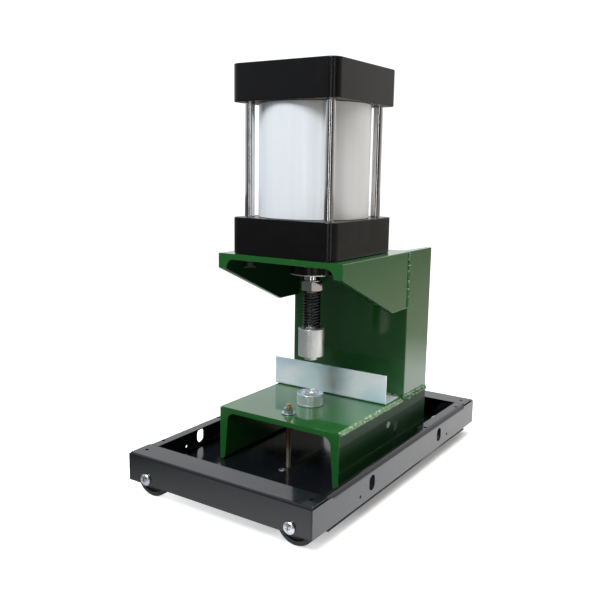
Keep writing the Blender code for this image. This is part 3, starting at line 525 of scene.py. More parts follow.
# where the paint is chipped: the middle and the size of each chip
chipPlaces = [
    ((0.1, 0.008, 0.0695), (0.004, 0.005, 0.0042)),
    ((-0.0797, -0.119, 0.0937), (0.003, 0.002, 0.002)),
]
mats = {
    "tray": glossPaint("trayFinish", trayPaint, 0.66),
    "frame": glossPaint("frameFinish", framePaint, 0.60, chipPlaces, paintedShadePlaces),
    "cap": glossPaint("capFinish", capPaint, 0.70),
    "barrel": barrelFinish(),
    "chrome": metal("chromeFinish", (0.82, 0.82, 0.83), (0.72, 0.72, 0.73), (0.045, 0.13), grain=1600,
                    depth=0.000004),
    "zinc": metal("zincFinish", (0.72, 0.75, 0.78), (0.58, 0.62, 0.66), (0.20, 0.36), grain=700, spots=240,
                  spotColour=(0.50, 0.55, 0.62)),
    "dieZinc": metal("dieFinish", (0.88, 0.93, 0.94), (0.74, 0.82, 0.86), (0.26, 0.40), lines=(700, 700, 40),
                     depth=0.000006, spots=110, spotColour=(0.60, 0.68, 0.74), sheen=0.8),
    "turned": metal("turnedFinish", (0.84, 0.85, 0.83), (0.72, 0.73, 0.71), (0.3, 0.46), lines=(900, 900, 30),
                    depth=0.000003, spots=120, spotColour=(0.48, 0.48, 0.46), sheen=0.85),
    "blackSteel": metal("blackSteelFinish", (0.06, 0.058, 0.06), (0.035, 0.035, 0.038), (0.22, 0.42),
                        grain=1100, depth=0.00002, spots=330, spotColour=(0.13, 0.10, 0.085)),
    "galvanised": galvanisedFinish(),
    "bronze": metal("bronzeFinish", (0.52, 0.34, 0.17), (0.42, 0.27, 0.13), (0.26, 0.44), (50, 50, 2400)),
    "alloy": metal("pistonFinish", (0.70, 0.71, 0.72), (0.60, 0.61, 0.63), (0.25, 0.42), (40, 40, 1800)),
    "nitrile": rubberFinish("nitrileFinish", (0.012, 0.012, 0.012), (0.035, 0.034, 0.032), 1400),
    "wheel": rubberFinish("wheelFinish", (0.018, 0.020, 0.019), (0.085, 0.085, 0.08), 900),
    "weld": weldFinish("weldFinish", (0.016, 0.10, 0.02), (0.46, 0.54, 0.40), 0.42, 0.5),
    "groundWeld": weldFinish("groundWeldFinish", (0.09, 0.19, 0.08), (0.50, 0.53, 0.40), 0.43, 0.6),
}
print("materials made:", len(mats))


tray = {
    "sheet": 0.0015, "endLip": 0.033, "endBend": 0.003, "sideBend": 0.0062, "wideLip": 0.0165,
    "narrowLip": 0.0078, "wideStart": 0.052, "lipHole": 0.0025, "endHole": (0.121, 0.0175),
    "sideHoles": (0.067, 0.176), "sideHoleInset": 0.0075, "slot": (0.0135, 0.019), "slotY": 0.098,
    "smallHole": 0.002, "smallHoleY": 0.126, "smallHoleRise": 0.0105, "edge": 0.00025,
    "panStep": 0.126, "panBend": 0.0016, "panTongue": 0.0795, "panReach": 0.1955, "drain": 0.004,
    "drainOffset": 0.013, "studHole": 0.0033,
}
frontLow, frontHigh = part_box("front_rail")
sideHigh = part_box("right_rail")[1]
halfWidth, halfDepth = sideHigh.x, sideHigh.y
wallLow, wallHigh = frontLow.z, frontHigh.z
studX, studY = middleOf("hold_down_stud")
axles = [(sx, sy) for sy in (-1, 1) for sx in (-1, 1)]
placeNames = {-1: ("front", "left"), 1: ("rear", "right")}


def dome(radius, start, top):
    # profile of a round screw head from its rim to its middle
    curve = [(radius * math.cos(math.radians(a)), start + (top - start) * math.sin(math.radians(a)))
             for a in range(0, 90, 10)]
    return curve + [(0, top)]


def wallOutline(lip, bend):
    sheet = tray["sheet"]
    return roundedOutline([
        (0, wallLow, 0), (0, wallHigh, bend), (lip, wallHigh, 0), (lip, wallHigh - sheet, 0),
        (sheet, wallHigh - sheet, bend - sheet), (sheet, wallLow, 0),
    ], detail["corner"])


def makeEndRail(name, node, side):
    low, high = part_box(node)
    outline = [(side * (halfDepth - u), v) for u, v in wallOutline(tray["endLip"], tray["endBend"])]
    bm = soften(extruded(outline, low.x, high.x, "yz"), tray["edge"])
    wheelLow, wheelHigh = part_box("wheel_" + placeNames[side][0] + "_right")
    axleX, axleZ = (wheelLow.x + wheelHigh.x) / 2, (wheelLow.z + wheelHigh.z) / 2
    holes = []
    for sx in (-1, 1):
        holes.append(moved(laidAlongY(rod(0.0043, -0.005, 0.005)), sx * axleX, side * halfDepth, axleZ))
        x, inset = tray["endHole"]
        holes.append(moved(rod(tray["lipHole"], -0.005, 0.005), sx * x, side * (halfDepth - inset), wallHigh))
    addPiece(name, worked(bm, holes), mats["tray"], [node])


def makeSideRail(name, node, side):
    sheet = tray["sheet"]
    lipEnd = halfDepth - tray["endLip"] - gap
    outline = [(side * (halfWidth - u), v) for u, v in wallOutline(tray["wideLip"], tray["sideBend"])]
    bm = extruded(outline, -lipEnd, lipEnd, "xz")
    ends = []
    for end in (-1, 1):
        y0, y1 = sorted((end * (lipEnd - tray["sideBend"]), end * halfDepth))
        x0, x1 = sorted((side * (halfWidth - sheet), side * halfWidth))
        ends.append(block((x0, y0, wallLow), (x1, y1, wallHigh - sheet - 2 * gap)))
    bm = worked(bm, ends, "UNION")
    wide, narrow, shelf = halfWidth - tray["wideLip"], halfWidth - tray["narrowLip"], tray["wideStart"]
    notch = roundedOutline([
        (wide - 0.01, -halfDepth - 0.01, 0), (narrow, -halfDepth - 0.01, 0), (narrow, shelf - 0.012, 0.012),
        (wide + 0.003, shelf + 0.006, 0.004), (wide - 0.01, shelf + 0.006, 0),
    ])
    notch = [(side * x, side * y) for x, y in notch]
    tools = [extruded(notch, wallHigh - 0.01, wallHigh + 0.01)]
    middle = (wallLow + wallHigh) / 2
    slotWidth, slotHeight = tray["slot"]
    for sy in (-1, 1):
        slot = extruded(boxOutline(slotWidth, slotHeight, slotWidth / 2 - 1e-5), -0.005, 0.005, "yz")
        tools.append(moved(slot, side * halfWidth, sy * tray["slotY"], middle))
        hole = laidAlongX(rod(tray["smallHole"], -0.005, 0.005))
        tools.append(moved(hole, side * halfWidth, sy * tray["smallHoleY"], wallLow + tray["smallHoleRise"]))
    for y in tray["sideHoles"]:
        hole = rod(tray["lipHole"], -0.005, 0.005)
        tools.append(moved(hole, side * (halfWidth - tray["sideHoleInset"]), side * y, wallHigh))
    addPiece(name, worked(bm, tools), mats["tray"], [node])


makeEndRail("trayFront", "front_rail", -1)
makeEndRail("trayRear", "rear_rail", 1)
makeSideRail("trayRight", "right_rail", 1)
makeSideRail("trayLeft", "left_rail", -1)


def makeFloorPan():
    low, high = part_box("floor_pan")
    sheet, step, bend = tray["sheet"], tray["panStep"], tray["panBend"]
    ledge = low.z
    outline = roundedOutline([
        (low.x, ledge, 0), (-step + sheet, ledge, bend), (-step + sheet, high.z - sheet, 0),
        (step - sheet, high.z - sheet, 0), (step - sheet, ledge, bend), (high.x, ledge, 0),
        (high.x, ledge + sheet, 0), (step, ledge + sheet, 0), (step, high.z, bend), (-step, high.z, bend),
        (-step, ledge + sheet, 0), (low.x, ledge + sheet, 0),
    ], 5)
    bm = soften(extruded(outline, low.y, high.y, "xz"), tray["edge"])
    tongue, reach = tray["panTongue"], tray["panReach"]  # the corners are notched round the wheels
    for x in (-0.2, tongue):
        for y in (-0.3, reach):
            bm = worked(bm, [block((x, y, 0), (x + 0.2 - tongue, y + 0.3 - reach, wallHigh))])
    bottom, top = ledge - 0.01, high.z + 0.01
    holes = [moved(rod(tray["studHole"], bottom, top), studX, studY),
             moved(rod(tray["drain"], bottom, top), studX, studY - tray["drainOffset"])]
    addPiece("trayFloor", worked(bm, holes), mats["tray"], ["floor_pan"])


makeFloorPan()

# the wheels, each on a round-headed bolt through the end wall with a nut inside
wheel = {"radius": 0.025, "width": 0.012, "hub": 0.0105, "rim": 0.019, "recess": 0.003, "treadRound": 0.0022,
         "bore": 0.0043, "bolt": 0.004, "head": 0.0074, "headHeight": 0.0042, "nut": 0.013, "spokes": 6,
         "line": 0.2125, "pocket": 0.0024}


def crossRecess(width, depth, top, arm):
    # the cross of a screwdriver recess, narrowing downwards
    outline = []
    for turn in range(4):
        c, s = math.cos(turn * math.pi / 2), math.sin(turn * math.pi / 2)
        for x, y in ((width, -arm), (width, arm), (arm, arm)):
            outline.append((x * c - y * s, x * s + y * c))
    bm = extruded(outline, top + 0.0005, top - depth)
    tip = [vert for vert in bm.verts if vert.co.z < top - depth / 2]
    bmesh.ops.scale(bm, vec=(0.5, 0.5, 1), verts=tip)
    return bm


def makeWheelSet(sx, sy):
    place = placeNames[sy][0] + "_" + placeNames[sx][1]
    low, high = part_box("wheel_" + place)
    x, z = (low.x + high.x) / 2, (low.z + high.z) / 2
    half, r = wheel["width"] / 2, wheel["radius"]
    wallSide = high.y - wheel["line"] if sy > 0 else -wheel["line"] - low.y
    web, soft = half - wheel["recess"], wheel["treadRound"]
    hub, rim = wheel["hub"], wheel["rim"]
    profile = ([(wheel["bore"], -half - gap), (hub - 0.0005, -half - gap), (hub, -half + 0.0002),
                (hub + 0.0004, -web), (rim - 0.0006, -web), (rim, -web - 0.0006), (rim + 0.0002, -half)]
               + arcPoints((r - soft, -half + soft), soft, -90, 0, 6)
               + [(r, -0.0011), (r - 0.0003, -0.0008), (r - 0.0003, 0.0008), (r, 0.0011)]
               + arcPoints((r - soft, half - soft), soft, 0, 90, 6)
               + [(rim + 0.0002, half), (rim, web + 0.0006), (rim - 0.0006, web), (hub + 0.0004, web),
                  (hub, wallSide - 0.0005), (hub - 0.0005, wallSide), (wheel["bore"], wallSide)])
    bm = turned(profile, detail["fine"])
    pockets = []
    for i in range(wheel["spokes"]):
        angle = 2 * math.pi * (i + 0.5) / wheel["spokes"]
        middle = (hub + rim) / 2
        pocket = rod(wheel["pocket"], -half - 0.001, -web + 0.0012, steps=24)
        pockets.append(moved(pocket, middle * math.cos(angle), middle * math.sin(angle)))
    bm = laidAlongY(worked(bm, [together(*pockets)]), sy)
    name = "wheel" + placeNames[sy][0].capitalize() + placeNames[sx][1].capitalize()
    addPiece(name, moved(bm, x, sy * wheel["line"], z), mats["wheel"], ["wheel_" + place],
             "wheel_" + place + "_body")

    boltLow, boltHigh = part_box("axle_bolt_" + place)
    inner, outer = sorted((abs(boltLow.y), abs(boltHigh.y)))
    base, head = outer - wheel["headHeight"], wheel["head"]
    r = wheel["bolt"]
    shank = [(0, inner), (r - 0.0005, inner), (r, inner + 0.0005), (r, base), (head - 0.0002, base),
             (head, base + 0.0003)]
    bolt = turned(shank + dome(head, base + 0.0011, outer), detail["medium"])
    bolt = worked(bolt, [crossRecess(0.0037, 0.0026, outer, 0.00065)])
    addPiece(name.replace("wheel", "axleBolt"), moved(laidAlongY(bolt, sy), x, 0, z), mats["zinc"],
             ["axle_bolt_" + place])

    nutLow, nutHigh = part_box("axle_nut_" + place)
    near, far = sorted((abs(nutLow.y), abs(nutHigh.y)))
    nut = laidAlongY(nutShape(wheel["nut"], near, far, wheel["bore"]), sy)
    addPiece(name.replace("wheel", "axleNut"), moved(nut, x, 0, z), mats["zinc"], ["axle_nut_" + place])


for sx, sy in axles:
    makeWheelSet(sx, sy)
print("tray and wheels made")


channel = {"web": 0.007, "root": 0.0132, "toe": 0.0076, "rootRadius": 0.0105, "toeRadius": 0.005,
           "heel": 0.0012, "tip": 0.001, "edge": 0.0004, "noseDepth": 0.0187, "heelY": 0.0085}
cylinder = {"corner": 0.012, "rim": 0.0011, "spigot": 0.0622, "bore": 0.0625, "nose": 0.0285, "port": 0.009,
            "portDepth": 0.024, "pocket": 0.011, "pocketDepth": 0.016, "nut": 0.018, "bolt": 0.005,
            "spigotHeight": 0.008, "seal": (0.0595, 0.0655), "sealWidth": 0.0035}
baseLow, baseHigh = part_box("base_channel")
columnLow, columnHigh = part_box("column_channel")
headLow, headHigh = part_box("head_channel")
frameX = (baseLow.x + baseHigh.x) / 2
axisX, axisY = middleOf("lower_die_cup")
rodPlaces = [middleOf("tie_rod_" + str(i)) for i in range(1, 5)]
fenceScrews = {word: middleOf("fence_screw_" + word) for word in ("left", "right")}


def channelOutline(width, drop):
    side = width / 2
    half = [
        (side, 0, channel["heel"]), (side, -drop, channel["tip"]),
        (side - channel["toe"], -drop, channel["toeRadius"]),
        (side - channel["root"], -channel["web"], channel["rootRadius"]),
    ]
    return roundedOutline(half + [(-x, y, radius) for x, y, radius in reversed(half)], detail["corner"])


def makeFrame():
    width = baseHigh.x - baseLow.x
    drop = baseHigh.z - baseLow.z
    outline = channelOutline(width, drop)
    base = extruded([(frameX + u, baseHigh.z + v) for u, v in outline], baseLow.y, baseHigh.y, "xz")
    soften(base, channel["edge"])
    low, high = baseHigh.z - 0.02, baseHigh.z + 0.01
    holes = [moved(rod(0.0033, low, high), studX, studY), moved(rod(0.0043, low, high), axisX, axisY)]
    holes += [moved(rod(0.0028, low, high), x, y) for x, y in fenceScrews.values()]
    addPiece("frameBase", worked(base, holes), mats["frame"], ["base_channel"])

    column = extruded([(frameX + u, columnLow.y - v) for u, v in outline], columnLow.z, columnHigh.z)
    addPiece("frameColumn", soften(column, channel["edge"]), mats["frame"], ["column_channel"])

    drop = headHigh.z - headLow.z
    outline = channelOutline(width, drop)
    head = extruded([(frameX + u, headHigh.z + v) for u, v in outline], headLow.y, headHigh.y, "xz")
    nose = Vector((0, headLow.y, headHigh.z - channel["noseDepth"]))
    heel = Vector((0, channel["heelY"], headHigh.z - drop))
    along = heel - nose
    below = Vector((0, along.z, -along.y)).normalized()
    bmesh.ops.bisect_plane(head, geom=head.verts[:] + head.edges[:] + head.faces[:], plane_co=nose,
                           plane_no=below, clear_outer=True)
    rims = [edge for edge in head.edges if edge.is_boundary]
    bmesh.ops.holes_fill(head, edges=rims, sides=0)
    bmesh.ops.recalc_face_normals(head, faces=head.faces)
    soften(head, channel["edge"])
    low, high = headHigh.z - 0.02, headHigh.z + 0.01
    holes = [moved(rod(cylinder["nose"] + 0.0005, low, high, steps=detail["fine"]), axisX, axisY)]
    holes += [moved(rod(0.0053, low, high), x, y) for x, y in rodPlaces]
    addPiece("frameHead", worked(head, holes), mats["frame"], ["head_channel"])


makeFrame()


def weldBead(start, end, across, size, ripple, seed, squash=1.0):
    # a bead from start to end: half-round rings whose size swells with each ripple and wanders a little
    chance = random.Random(seed)
    start, end, across = Vector(start), Vector(end), Vector(across).normalized()
    along = (end - start).normalized()
    up = along.cross(across).normalized()
    length = (end - start).length
    count = max(8, int(length / ripple * 5))
    bm = bmesh.new()
    loops = []
    wander = 0.0
    for i in range(count + 1):
        t = i / count
        phase = (t * length / ripple) % 1.0
        wander = 0.7 * wander + 0.3 * chance.uniform(-1, 1)
        swell = 0.80 + 0.24 * math.sqrt(max(0.0, 1 - (2 * phase - 1) ** 2)) + 0.12 * wander
        taper = min(1.0, 0.35 + 6 * min(t, 1 - t) * length / size / 6)
        radius = size * swell * taper
        made = bmesh.ops.create_circle(bm, segments=12, radius=radius)
        axes = Matrix((across, up * squash, along)).transposed().to_4x4()
        spot = start + along * (length * t) + across * (0.16 * size * wander)
        bmesh.ops.transform(bm, matrix=Matrix.Translation(spot) @ axes, verts=made["verts"])
        for vert in made["verts"]:
            vert.co += Vector([chance.uniform(-1, 1) for _ in range(3)]) * size * 0.05
        loops.append(list({edge for vert in made["verts"] for edge in vert.link_edges}))
    for first, second in zip(loops, loops[1:]):
        bmesh.ops.bridge_loops(bm, edges=first + second)
    bmesh.ops.holes_fill(bm, edges=[edge for edge in bm.edges if edge.is_boundary], sides=0)
    bmesh.ops.recalc_face_normals(bm, faces=bm.faces)
    return bm


welds = {"foot": 0.0044, "seam": 0.0021, "ground": 0.0032, "ripple": 0.0042, "groundRipple": 0.007}


def makeWelds():
    right, left, top = baseHigh.x, baseLow.x, baseHigh.z
    front, back = columnLow.y, columnHigh.y
    foot, seam, inset, rim = welds["foot"], welds["seam"], 0.0004, 0.0003
    line, under = front - inset, headHigh.z - channel["web"] - inset
    low, high = headLow.z + 0.001, headHigh.z - 0.001
    near, far = front + 0.001, back - 0.001
    beads = [  # name, start, end, across, size, flatness
        ("weldFootRight", (right - inset, near, top), (right - inset, far, top), "x", foot, 1.0),
        ("weldFootLeft", (left + inset, near, top), (left + inset, far, top), "x", foot, 1.0),
        ("weldFootFront", (left + 0.004, line, top), (right - 0.003, line, top), "y", foot, 1.0),
        ("weldHeadRight", (right - rim, front, low), (right - rim, front, high), "x", seam, 0.8),
        ("weldHeadLeft", (left + rim, front, low), (left + rim, front, high), "x", seam, 0.8),
        ("weldHeadUnder", (left + 0.016, line, under), (right - 0.016, line, under), "y", foot, 1.0),
    ]
    for seed, (name, start, end, axis, size, squash) in enumerate(beads):
        across = (1, 0, 0) if axis == "x" else (0, 1, 0)
        bead = weldBead(start, end, across, size, welds["ripple"], seed + 3, squash)
        addPiece(name, bead, mats["weld"], [], even=False)
    x, z = right - 0.0012, top - 0.0012
    ground = weldBead((x, baseLow.y + 0.0015, z), (x, front - 0.002, z), (0.7, 0, -0.7), welds["ground"],
                      welds["groundRipple"], 41, 0.40)
    addPiece("weldGroundRight", ground, mats["groundWeld"], [], even=False)


makeWelds()


stud = {"radius": 0.003, "pitch": 0.001, "washer": 0.0095, "nut": 0.011}


def makeStud():
    low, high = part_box("hold_down_stud")
    thread = threadedRod(stud["radius"], low.z, high.z, stud["pitch"])
    addPiece("studRod", moved(thread, studX, studY), studFinish(low.z, high.z), ["hold_down_stud"])
    low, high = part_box("hold_down_washer")
    washer = softCorner(tray["studHole"], stud["washer"], low.z, high.z, 0.0004)
    addTurned("studWasher", washer, "medium", "zinc", ["hold_down_washer"], place=(studX, studY))
    for name, node in (("studNut", "hold_down_nut"), ("studLowerNut", "hold_down_lower_nut")):
        low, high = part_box(node)
        nut = nutShape(stud["nut"], low.z, high.z, 0.0033)
        addPiece(name, moved(nut, studX, studY), mats["zinc"], [node])


makeStud()

fence = {"sheet": 0.002, "bend": 0.0028, "inner": 0.0008, "corner": 0.0012, "edge": 0.0003,
         "screwHead": 0.0047, "screw": 0.0025}


def makeFence():
    low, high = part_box("back_fence")
    sheet = fence["sheet"]
    outline = roundedOutline([
        (low.y, low.z, fence["bend"]), (high.y, low.z, 0), (high.y, low.z + sheet, 0),
        (low.y + sheet, low.z + sheet, fence["inner"]), (low.y + sheet, high.z, 0), (low.y, high.z, 0),
    ], 8)
    bm = soften(extruded(outline, low.x, high.x, "yz"), fence["edge"])
    holes = [moved(rod(0.0028, low.z - 0.01, low.z + 0.01), x, y) for x, y in fenceScrews.values()]
    addPiece("backFence", worked(bm, holes), mats["galvanised"], ["back_fence"])
    for word, (x, y) in fenceScrews.items():
        low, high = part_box("fence_screw_" + word)
        seat, head, top = high.z - 0.0031, fence["screwHead"], high.z
        r = fence["screw"]
        shank = [(0, low.z), (r - 0.0004, low.z), (r, low.z + 0.0004), (r, seat), (head, seat)]
        screw = turned(shank + dome(head, seat + 0.0009, top), detail["small"])
        screw = worked(screw, [crossRecess(0.0026, 0.0019, top, 0.00045)])
        addPiece("fenceScrew" + word.capitalize(), moved(screw, x, y), mats["zinc"], ["fence_screw_" + word])


makeFence()

die = {"wall": 0.0019, "floor": 0.0055, "anvil": 0.0074, "dish": 0.0056, "dishDepth": 0.0034, "screw": 0.004,
       "edge": 0.0006}


def makeDie():
    low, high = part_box("lower_die_cup")
    outer = radiusOf("lower_die_cup")
    inner, edge, bore, floor = outer - die["wall"], die["edge"], die["screw"] + gap, low.z + die["floor"]
    profile = ([(bore, low.z)] + arcPoints((outer - edge, low.z + edge), edge, -90, 0, 4)
               + [(outer, low.z + 0.0022), (outer - 0.0002, low.z + 0.0024), (outer, low.z + 0.0026)]
               + arcPoints((outer - edge, high.z - edge), edge, 0, 90, 4)
               + arcPoints((inner + 0.0004, high.z - 0.0004), 0.0004, 90, 180, 3)
               + arcPoints((inner - 0.001, floor + 0.001), 0.001, 0, -90, 4) + [(bore, floor)])
    addTurned("dieCup", profile, "fine", "dieZinc", ["lower_die_cup"])
    low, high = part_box("lower_die_anvil")
    outer, dish, bottom = die["anvil"], die["dish"], high.z - die["dishDepth"]
    roof, bowl = bottom - 0.0012, die["dishDepth"] - 0.0005
    profile = ([(bore, low.z), (outer - 0.0003, low.z), (outer, low.z + 0.0003)]
               + arcPoints((outer - 0.0005, high.z - 0.0005), 0.0005, 0, 90, 4)
               + arcPoints((dish + 0.0003, high.z - 0.0003), 0.0003, 90, 180, 3)
               + [(dish * math.cos(math.radians(a)), high.z - 0.0005 - bowl * math.sin(math.radians(a)))
                  for a in range(10, 90, 12)]
               + [(0, bottom), (0, roof), (bore, roof)])
    addTurned("dieAnvil", profile, "medium", "turned", ["lower_die_anvil"])
    low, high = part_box("lower_die_screw")
    head, seat = radiusOf("lower_die_screw"), baseHigh.z - channel["web"] - gap
    screw = socketScrew(low.z, seat, high.z, head, die["screw"], (0.0006, 0.0005), 0.0035, 0.004, "small")
    addPiece("dieScrew", moved(screw, axisX, axisY), mats["blackSteel"], ["lower_die_screw"])


makeDie()
print("frame, welds, stud, fence and die made")


lowerLow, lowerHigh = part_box("lower_cap")
upperLow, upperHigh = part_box("upper_cap")
barrelLow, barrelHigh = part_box("barrel")
capWidth = upperHigh.x - upperLow.x
capLow = headHigh.z + gap
capHigh = barrelLow.z - gap
topLow = barrelHigh.z + gap
topHigh = upperHigh.z


def capBlock(low, high):
    bm = extruded(boxOutline(capWidth, capWidth, cylinder["corner"], 14), low, high)
    return soften(bm, cylinder["rim"], 3)


def portTools(middle, passageEnd):
    r, depth = cylinder["port"], cylinder["portDepth"]
    port = turned([(0, -depth), (r, -depth), (r, -0.0012), (r + 0.0012, 0), (r + 0.0012, 0.01), (0, 0.01)],
                  detail["medium"])
    low, high = sorted((middle, passageEnd))
    passage = moved(rod(0.004, low, high), 0, capWidth / 2 - depth + 0.004)
    return [moved(laidAlongY(port), 0, capWidth / 2, middle), passage]


def sealGroove(low):
    (inner, outer), high = cylinder["seal"], low + cylinder["sealWidth"]
    return turned([(inner, low), (outer, low), (outer, high), (inner, high)], detail["fine"])


def makeCaps():
    spigot = cylinder["spigotHeight"]
    body = worked(capBlock(capLow, capHigh), [
        turned(softCorner(0.004, cylinder["nose"], lowerLow.z, capLow + 0.01, 0.0008), detail["fine"]),
        rod(cylinder["spigot"], capHigh - 0.01, capHigh + spigot, steps=detail["fine"]),
    ], "UNION")
    tools = [sealGroove(capHigh + 0.0025),
             rod(radiusOf("rod_bush") + gap, lowerLow.z - 0.01, lowerHigh.z + 0.01, steps=detail["medium"])]
    for x, y in rodPlaces:
        dx, dy = x - axisX, y - axisY
        tools.append(moved(rod(radiusOf("tie_rod_1") + gap, capHigh - 0.0221, capHigh + 0.01), dx, dy))
        tools.append(moved(rod(0.0053, capLow - 0.01, capLow + 0.0181), dx, dy))
    tools += portTools((capLow + capHigh) / 2, capHigh + 0.02)
    body = moved(worked(body, tools), axisX, axisY)
    addPiece("capLower", body, mats["cap"], ["lower_cap"])

    body = worked(capBlock(topLow, topHigh), [
        rod(cylinder["spigot"], topLow - spigot, topLow + 0.01, steps=detail["fine"])], "UNION")
    tools = [sealGroove(topLow - 0.006)]
    floor, radius = topHigh - cylinder["pocketDepth"], cylinder["pocket"]
    for x, y in rodPlaces:
        dx, dy = x - axisX, y - axisY
        pocket = turned([(0, floor), (radius, floor), (radius, topHigh - 0.0006), (radius + 0.0006, topHigh),
                         (radius + 0.0006, topHigh + 0.005), (0, topHigh + 0.005)], detail["medium"])
        hole = rod(radiusOf("tie_rod_1") + gap, topLow - 0.01, floor + 0.001)
        tools += [moved(hole, dx, dy), moved(pocket, dx, dy)]
    tools += portTools((topLow + topHigh) / 2, topLow - 0.02)
    body = moved(worked(body, tools), axisX, axisY)
    addPiece("capUpper", body, mats["cap"], ["upper_cap"])


makeCaps()


def makeRims():
    # the bare turned lip of the cylinder's nose, and a bright zinc ring at the drain hole: painted light
    # standing in for the light seen through the hole
    nose, low = cylinder["nose"], lowerLow.z
    lip = [(nose - 0.0008, low), (nose - 0.0001, low), (nose + 0.0001, low + 0.0003),
           (nose + 0.0001, low + 0.0009), (nose - 0.0008, low + 0.0009)]
    addTurned("noseLip", lip, "fine", "turned", [])
    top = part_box("floor_pan")[1].z
    # painted light: a bright zinc ring at the drain hole in place of the light seen through it
    brightRing = [(0.0034, top - 0.0004), (0.005, top - 0.0004), (0.0049, top + 0.0001), (0.0042, top + 0.0005),
            (0.0034, top - 0.0001)]
    addTurned("drainBrightRing", brightRing, "small", "zinc", [], place=(studX, studY - tray["drainOffset"]))


makeRims()


def makeBarrelAndRods():
    outer = (barrelHigh.x - barrelLow.x) / 2
    profile = softCorner(cylinder["bore"], outer, barrelLow.z, barrelHigh.z, 0.0005, 3)
    addTurned("barrelTube", profile, "barrel", "barrel", ["barrel"])
    for i, (x, y) in enumerate(rodPlaces, start=1):
        low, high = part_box("tie_rod_" + str(i))
        nutLow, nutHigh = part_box("tie_rod_nut_" + str(i))
        r = radiusOf("tie_rod_" + str(i))
        bar = [(0, low.z), (r - 0.0006, low.z), (r, low.z + 0.0006), (r, high.z - 0.0008),
               (r - 0.0008, high.z), (0, high.z)]
        addTurned("tieRod" + str(i), bar, "medium", "chrome", ["tie_rod_" + str(i)], place=(x, y))
        nut = nutShape(cylinder["nut"], nutLow.z, nutHigh.z, r + gap)
        addPiece("tieRodNut" + str(i), moved(nut, x, y), mats["zinc"], ["tie_rod_nut_" + str(i)])
        low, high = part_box("mount_bolt_" + str(i))
        head, seat = radiusOf("mount_bolt_" + str(i)), headHigh.z - channel["web"] - gap
        bolt = socketScrew(low.z, seat, high.z, head, cylinder["bolt"], (0.0008, 0.0008), 0.0046, 0.005,
                           "medium")
        addPiece("mountBolt" + str(i), moved(bolt, x, y), mats["blackSteel"], ["mount_bolt_" + str(i)])


makeBarrelAndRods()
print("air cylinder made")


ram = {"socket": 0.0068, "socketDepth": 0.018, "shank": 0.0065, "lockNut": 0.026, "punchHead": 0.0085,
       "spigot": 0.008}
coil = {"wire": 0.0014, "turns": 12.5, "closed": 0.8, "steps": 40, "sides": 14, "travel": 0.008}


def makeRam():
    low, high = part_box("piston_rod")
    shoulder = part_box("piston")[0].z - gap
    r = radiusOf("piston_rod")
    hole, spigot, floor = ram["socket"], ram["spigot"], low.z + ram["socketDepth"]
    profile = [(0, floor), (hole, floor), (hole, low.z), (r - 0.0008, low.z), (r, low.z + 0.0008),
               (r, shoulder), (spigot, shoulder), (spigot, high.z - 0.0006), (spigot - 0.0006, high.z),
               (0, high.z)]
    addTurned("pistonRod", profile, "medium", "chrome", ["piston_rod"], "ram")
    low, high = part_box("punch_lock_nut")
    nut = nutShape(ram["lockNut"], low.z, high.z, ram["socket"], 0.93, 10)
    addPiece("lockNut", moved(nut, axisX, axisY), mats["chrome"], ["punch_lock_nut"], "ram")

    low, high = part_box("punch")
    head, shank = ram["punchHead"], ram["shank"]
    shoulder = sleeveStep - gap
    profile = ([(0, low.z + 0.0014), (0.0022, low.z + 0.0012), (0.0034, low.z + 0.0006), (0.004, low.z)]
               + arcPoints((head - 0.0006, low.z + 0.0006), 0.0006, -90, 0, 4)
               + [(head, shoulder), (shank, shoulder), (shank, high.z - 0.0005), (shank - 0.0005, high.z),
                  (0, high.z)])
    addTurned("punchBody", profile, "medium", "turned", ["punch"], "ram")


sleeveStep = 0.1806  # height of the sleeve's inner ledge, which rests on the punch head


def makeSleeve():
    low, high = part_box("punch_sleeve")
    outer = radiusOf("punch_sleeve")
    wide, tight, soft = ram["punchHead"] + gap, ram["shank"] + gap, 0.0009
    profile = ([(wide, low.z + 0.0004), (wide + 0.0004, low.z)]
               + arcPoints((outer - soft, low.z + soft), soft, -90, 0, 5)
               + arcPoints((outer - soft, high.z - soft), soft, 0, 90, 5)
               + [(tight + 0.0004, high.z), (tight, high.z - 0.0004), (tight, sleeveStep),
                  (wide, sleeveStep)])
    addTurned("punchSleeve", profile, "fine", "turned", ["punch_sleeve"], "sleeve")


def makeSpring():
    low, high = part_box("die_spring")
    wire, steps = coil["wire"], coil["steps"]
    radius = radiusOf("die_spring") - wire
    bottom, top = low.z + wire, high.z - wire
    closedTurns, openTurns = coil["closed"], coil["turns"] - 2 * coil["closed"]
    closedPitch = 2 * wire + 0.0001
    openPitch = (top - bottom - 2 * closedTurns * closedPitch) / openTurns
    bm = bmesh.new()
    ring = bmesh.ops.create_circle(bm, segments=coil["sides"], radius=wire, cap_ends=False)["verts"]
    bmesh.ops.rotate(bm, verts=ring, cent=(0, 0, 0), matrix=Matrix.Rotation(math.pi / 2, 3, "X"))
    bmesh.ops.translate(bm, verts=ring, vec=(radius, 0, bottom))
    front = list(ring) + list({edge for vert in ring for edge in vert.link_edges})
    for turns, pitch in ((closedTurns, closedPitch), (openTurns, openPitch), (closedTurns, closedPitch)):
        count = round(turns * steps)
        spun = bmesh.ops.spin(bm, geom=front, cent=(0, 0, 0), axis=(0, 0, 1), angle=2 * math.pi * turns,
                              dvec=(0, 0, pitch * turns / count), steps=count, use_merge=False)
        front = [item for item in spun["geom_last"] if not isinstance(item, bmesh.types.BMFace)]
    bmesh.ops.holes_fill(bm, edges=[edge for edge in bm.edges if edge.is_boundary], sides=0)
    bmesh.ops.recalc_face_normals(bm, faces=bm.faces)
    bm = moved(bm, axisX, axisY)
    spring = addPiece("dieSpring", bm, mats["blackSteel"], ["die_spring"], "ram", even=False)
    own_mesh(spring)


makeRam()
makeSleeve()
makeSpring()
print("ram, punch, sleeve and spring made")

